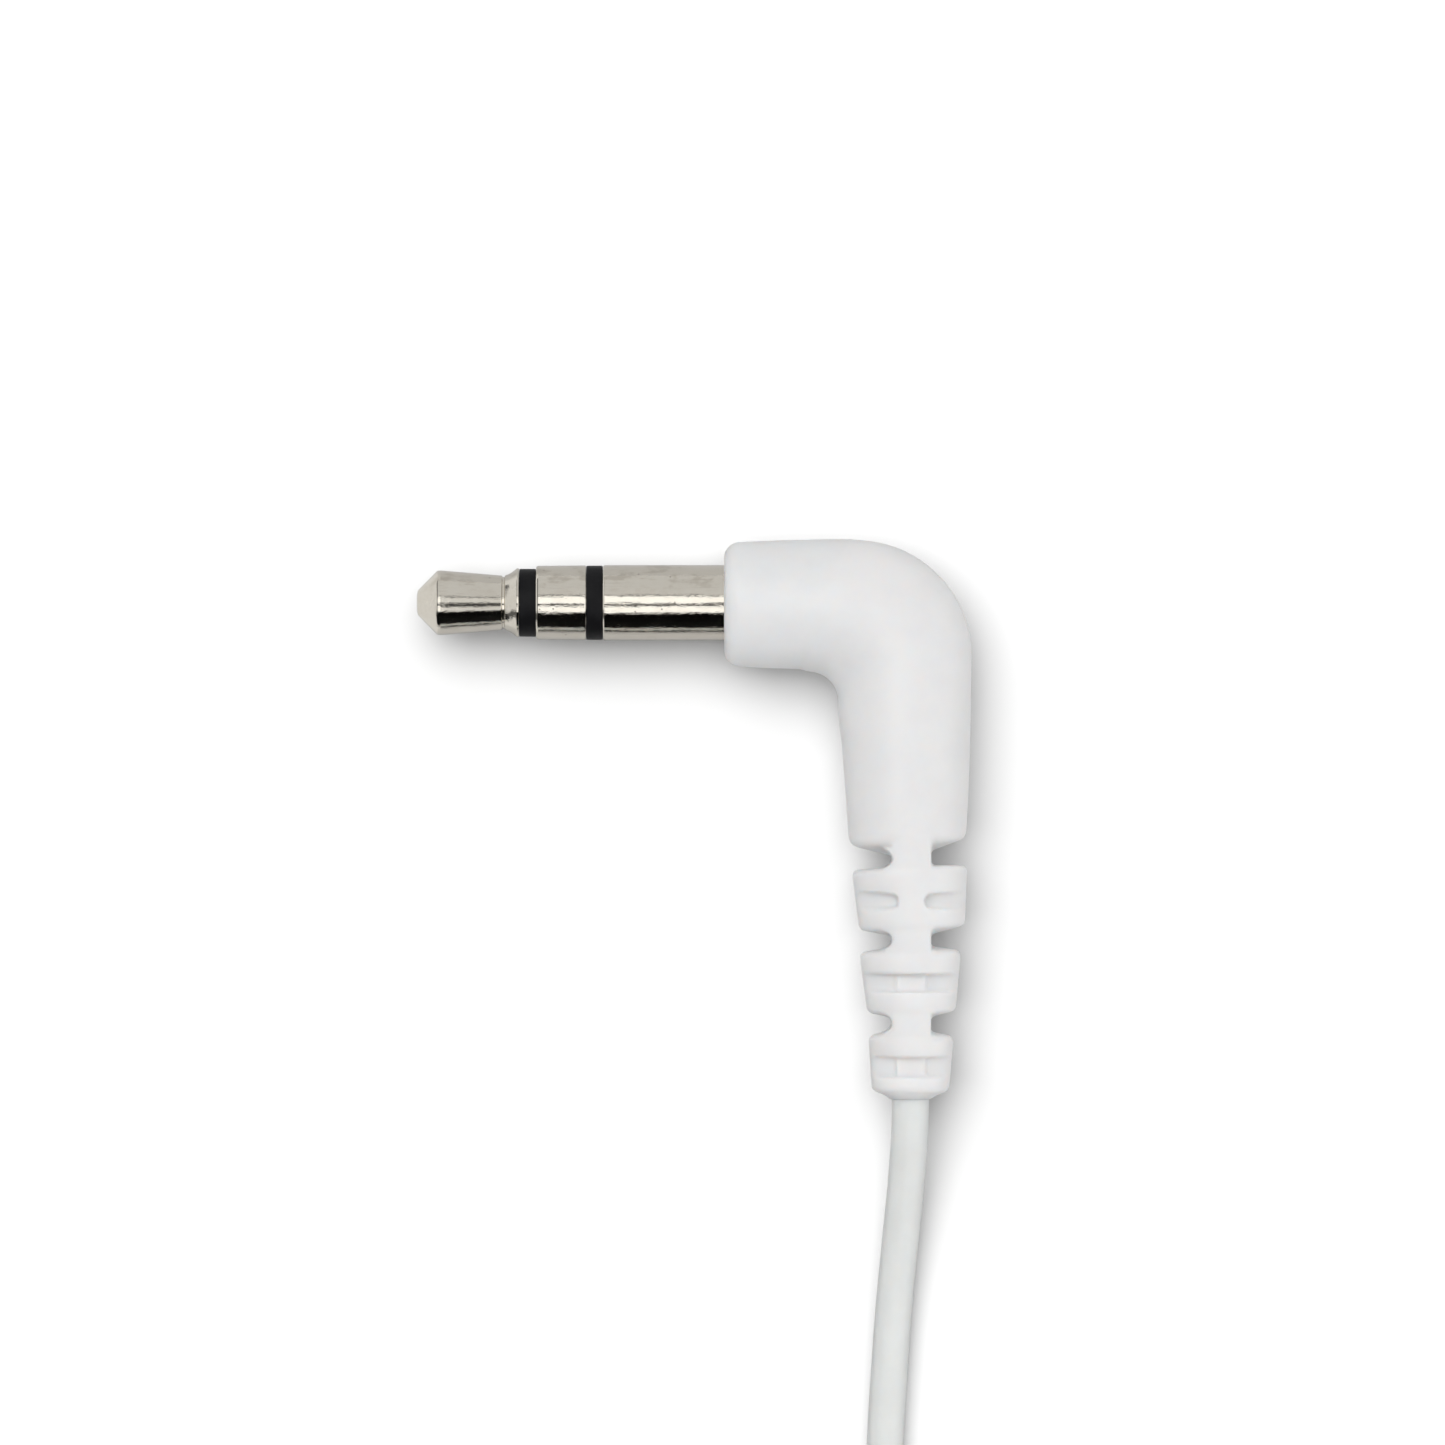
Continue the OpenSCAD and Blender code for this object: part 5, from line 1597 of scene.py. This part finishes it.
@dataclass
class Earpiece:
    """One earpiece: shells, cap, relief, mesh and ear tip, standing on its rear cap."""

    side: Side
    x: float = -84.0
    off: float = 7.5
    sides: int = 112
    body_r: float = 5.9
    inner_r: float = 5.0
    cap_r: float = 4.6
    rear_h: float = 6.2
    boss_r: float = 2.1
    boss_reach: float = 8.0
    port_r: float = 1.0
    port_z: float = 2.77
    step_z: float = 7.22
    dome_top: float = 11.02
    nozzle_top: float = 14.22
    nozzle_r: float = 2.3
    bore_r: float = 1.6
    tip_r: float = 6.0
    tip_h: float = 5.7

    def place(self) -> Matrix:
        """The earpiece's own frame: its foot on the table, its cord port along +X."""
        return Matrix.Translation((self.x, ROW_Y + self.side.value * self.off, FLOOR_Z))

    def _part(self, name: str, corners: Sequence[Corner], tube: bool = True,
              sides: int | None = None) -> bpy.types.Object:
        """Turns one part of the earpiece round its upright axis."""
        return Bench.turned(f"{self.side.label}_{name}", softened(corners, closed=tube),
                            self.place(), sides or self.sides, tube)

    def _drill(self, part: bpy.types.Object, x0: float, x1: float, z: float,
               radius: float) -> None:
        """Drills a round hole along X through a part.

        Args:
            part: The part to drill.
            x0: Where the hole starts along X, in mm.
            x1: Where it ends along X, in mm.
            z: Its height in mm.
            radius: Its radius in mm.
        """
        Bench.combined(part, Bench.turned(
            "drill", [(x0, 0), (x0, radius), (x1, radius), (x1, 0)],
            self.place() @ Along.X.at(0, 0, z), 48))

    def rear_cap(self) -> bpy.types.Object:
        """The cap that closes the back, with a stepped rim.

        Returns:
            The cap.
        """
        r = self.cap_r
        return self._part("back_cap", [
            (0.02, 0), (0.02, r - 0.95), (0.1, r - 0.9, 0.04), (0.1, r - 0.75, 0.04),
            (0.02, r - 0.7, 0.04), (0.02, r - 0.3, 0.1), (0.32, r - 0.01, 0.15), (0.98, r - 0.01),
            (0.98, 0)], tube=False)

    def rear_shell(self) -> bpy.types.Object:
        """The rear shell with the boss of the cord port and the vent.

        Returns:
            The shell.
        """
        r, inner, cap = self.body_r, self.inner_r, self.cap_r + 0.02
        shell = self._part("back_shell", [
            (1.72, 0.0), (1.02, 0.0), (1.02, cap), (0.27, cap, 0.04), (0.27, r - 1.1, 0.5),
            (0.75, r - 0.22, 0.8), (1.6, r - 0.01, 1.0), (self.rear_h - 0.02, r - 0.01, 0.05),
            (self.rear_h - 0.02, inner + 0.47, 0.03), (self.rear_h - 0.8, inner + 0.47),
            (self.rear_h - 0.8, inner), (1.72, inner, 0.2)])
        boss = Bench.turned("boss", softened([
            (inner + 0.2, 0), (inner + 0.2, self.boss_r + 0.75), (r - 0.25, self.boss_r + 0.5, 0.5),
            (r + 0.35, self.boss_r, 0.5), (self.boss_reach - 0.01, self.boss_r - 0.01, 0.08),
            (self.boss_reach - 0.01, 0)]), self.place() @ Along.X.at(0, 0, self.port_z), 72)
        low = FLOOR_Z + 0.3
        y = ROW_Y + self.side.value * self.off
        keep = Bench.block("keep", (self.x, y - 5, low), (self.x + 12, y + 5, low + 8))
        Bench.combined(boss, keep, "INTERSECT")
        Bench.combined(shell, boss, "UNION")
        if self.side is Side.LEFT:
            dot = Bench.turned("dot", softened([
                (-0.34, 0), (-0.34, 0.05), (0, 0.36, 0.36), (0.34, 0.05), (0.34, 0)]),
                self.place() @ Along.Z.at(self.boss_reach - 1, 0,
                                          self.port_z + self.boss_r - 0.1), 32)
            Bench.combined(shell, dot, "UNION")
        self._drill(shell, inner - 1, self.boss_reach + 1, self.port_z, self.port_r + 0.02)
        self._drill(shell, -r - 1, -inner + 1, self.rear_h / 2 + 1, 0.35)
        return shell

    def front_shell(self) -> bpy.types.Object:
        """The front shell, which narrows to the nozzle with its barb.

        Returns:
            The shell.
        """
        r, inner, step, top = self.body_r, self.inner_r, self.step_z, self.nozzle_top
        noz, dome = self.nozzle_r, self.dome_top
        low = self.rear_h
        return self._part("front_cover", [
            (low - 0.77, inner), (low - 0.77, inner + 0.44), (low + 0.03, inner + 0.44),
            (low + 0.03, r - 0.12, 0.03), (low + 0.15, r - 0.01, 0.06), (low + 0.6, r - 0.01, 2.0),
            (step + 0.6, r - 0.22, 2.0), (step + 1.6, r - 0.87, 1.5), (step + 2.5, r - 1.82, 1.5),
            (step + 3.3, noz + 0.88, 1.0), (dome - 0.25, noz + 0.28, 0.4), (dome + 0.2, noz - 0.01, 0.3),
            (top - 1.7, noz - 0.01, 0.1), (top - 1.4, noz + 0.14, 0.1), (top - 0.9, noz + 0.14, 0.1),
            (top - 0.5, noz - 0.01, 0.1), (top - 0.01, noz - 0.01, 0.1), (top - 0.01, 1.97, 0.03),
            (top - 0.22, 1.97), (top - 0.22, self.bore_r), (dome - 0.6, self.bore_r, 0.3),
            (step + 2.4, noz + 0.3, 0.6), (step + 1.4, inner - 0.9, 1.0),
            (step + 0.2, inner - 0.35, 0.1), (step, inner - 0.35), (step, inner)])

    def relief(self) -> bpy.types.Object:
        """The small ribbed relief at the cord port.

        Returns:
            The relief.
        """
        start, end, bore = self.boss_reach + 0.02, self.boss_reach + 5.02, 0.62
        edge = self.boss_r - 0.1
        corners: list[Corner] = [
            (self.inner_r - 0.58, bore), (self.inner_r - 0.58, 0.99, 0.05), (start, 0.99),
            (start, edge, 0.06), (start + 0.78, edge, 0.3)]
        for rib in range(3):
            x = start + 1.08 + rib * 1.2
            wall = edge - (x - start - 0.78) * 0.25
            corners += [(x, wall, 0.08), (x, 1.05, 0.05), (x + 0.45, 1.05, 0.05),
                        (x + 0.45, wall - 0.11, 0.08)]
        corners += [(end - 0.3, 0.99, 0.2), (end - 0.01, 0.84, 0.1), (end - 0.01, bore)]
        return Bench.turned(f"{self.side.label}_cord_relief", softened(corners, closed=True),
                            self.place() @ Along.X.at(0, 0, self.port_z), 72, True)

    def mesh(self) -> bpy.types.Object:
        """The mesh in the nozzle: a disc with rings of round holes.

        Returns:
            The mesh.
        """
        top = self.nozzle_top
        disc = self._part("sound_mesh", [(top - 0.2, 0), (top - 0.2, 1.94, 0.03),
                                         (top - 0.005, 1.94, 0.03), (top - 0.005, 0)], False, 64)
        punches = []
        for ring in range(5):
            count = max(1, 6 * ring)
            for spot in range(count):
                angle = 2 * math.pi * spot / count
                punches.append(Bench.turned(
                    "punch", [(top - 1, 0), (top - 1, 0.11), (top + 1, 0.11), (top + 1, 0)],
                    self.place() @ Along.Z.at(0.36 * ring * math.cos(angle),
                                              0.36 * ring * math.sin(angle)), 8))
        return Bench.combined(disc, Bench.joined("punches", *punches))

    def ear_tip(self) -> bpy.types.Object:
        """The silicone ear tip: a tube on the nozzle and the skirt that folds back over it.

        Returns:
            The ear tip.
        """
        seat, r, bore = self.nozzle_top + 0.02, self.tip_r - 0.01, 2.5
        top = seat + 1.6

        def below(share: float) -> float:
            """Height at a share of the ear tip below its top."""
            return top - share * self.tip_h

        return self._part("silicone_tip", [
            (seat - 2.89, bore), (seat - 2.89, bore + 0.59, 0.15), (below(0.23), bore + 0.59, 0.3),
            (below(0.25), r * 0.62, 0.3), (below(0.37), r * 0.75, 1.0), (below(0.61), r * 0.87, 2.0),
            (below(0.86), r - 0.45, 2.0), (below(0.998), r - 0.5, 0.1), (below(0.998), r - 0.1, 0.1),
            (below(0.88), r, 1.5), (below(0.61), r * 0.96, 2.5), (below(0.33), r * 0.86, 2.5),
            (below(0.14), r * 0.7, 2.0), (below(0.026), r * 0.52, 1.0), (top - 0.01, r * 0.42, 0.6),
            (top - 0.01, self.bore_r + 0.42, 0.15), (top - 0.2, self.bore_r + 0.2, 0.15),
            (seat, self.bore_r + 0.2), (seat, bore)])

    def build(self, dresser: Dresser) -> None:
        """Makes and dresses the earpiece's six outer parts.

        Args:
            dresser: Gives the parts their finish and body.
        """
        label = self.side.label
        parts = [(self.rear_cap(), "white_shell", "rear_cap", None),
                 (self.rear_shell(), "white_shell", "rear_shell", None),
                 (self.front_shell(), "white_shell", "front_shell", None),
                 (self.relief(), "white_moulding", "relief", None),
                 (self.mesh(), "steel_mesh", "nozzle_mesh", None),
                 (self.ear_tip(), "silicone", "ear_tip", f"{label}_ear_tip")]
        for part, slot, node, body in parts:
            dresser.dress(Bench.finished(part), slot, f"{label}_{node}", body=body)


def declare_cords(cords: dict[str, Cord]) -> None:
    """Works out each cord's far end, length and diameter in metres, and keeps none of them.

    Args:
        cords: The three cords.
    """
    main = cords["main"]
    [MM * v for v in main.points[-1]]
    main.length
    main.diameter * MM
    for side in Side:
        cord = cords[side.label]
        [MM * v for v in cord.points[-1]]
        cord.length
        cord.diameter * MM


def main() -> None:
    """Builds and dresses the whole set."""
    logging.basicConfig(level=logging.INFO, format="%(message)s")
    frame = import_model()
    dresser = Dresser()
    Studio().build()
    strands = Cords()
    cords = strands.make(dresser)
    plug = Plug()
    plug.contacts(dresser)
    plug.housing(dresser)
    ties = strands.ties(dresser)
    row = SplitAndSlider().build(dresser)
    for side in Side:
        Earpiece(side).build(dresser)
    declare_cords(cords)
    replaced = {name for piece in bpy.data.objects for name in piece.get("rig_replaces", ())}
    dresser.dress_nodes(frame, replaced)
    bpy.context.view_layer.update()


if __name__ == "__main__":
    main()
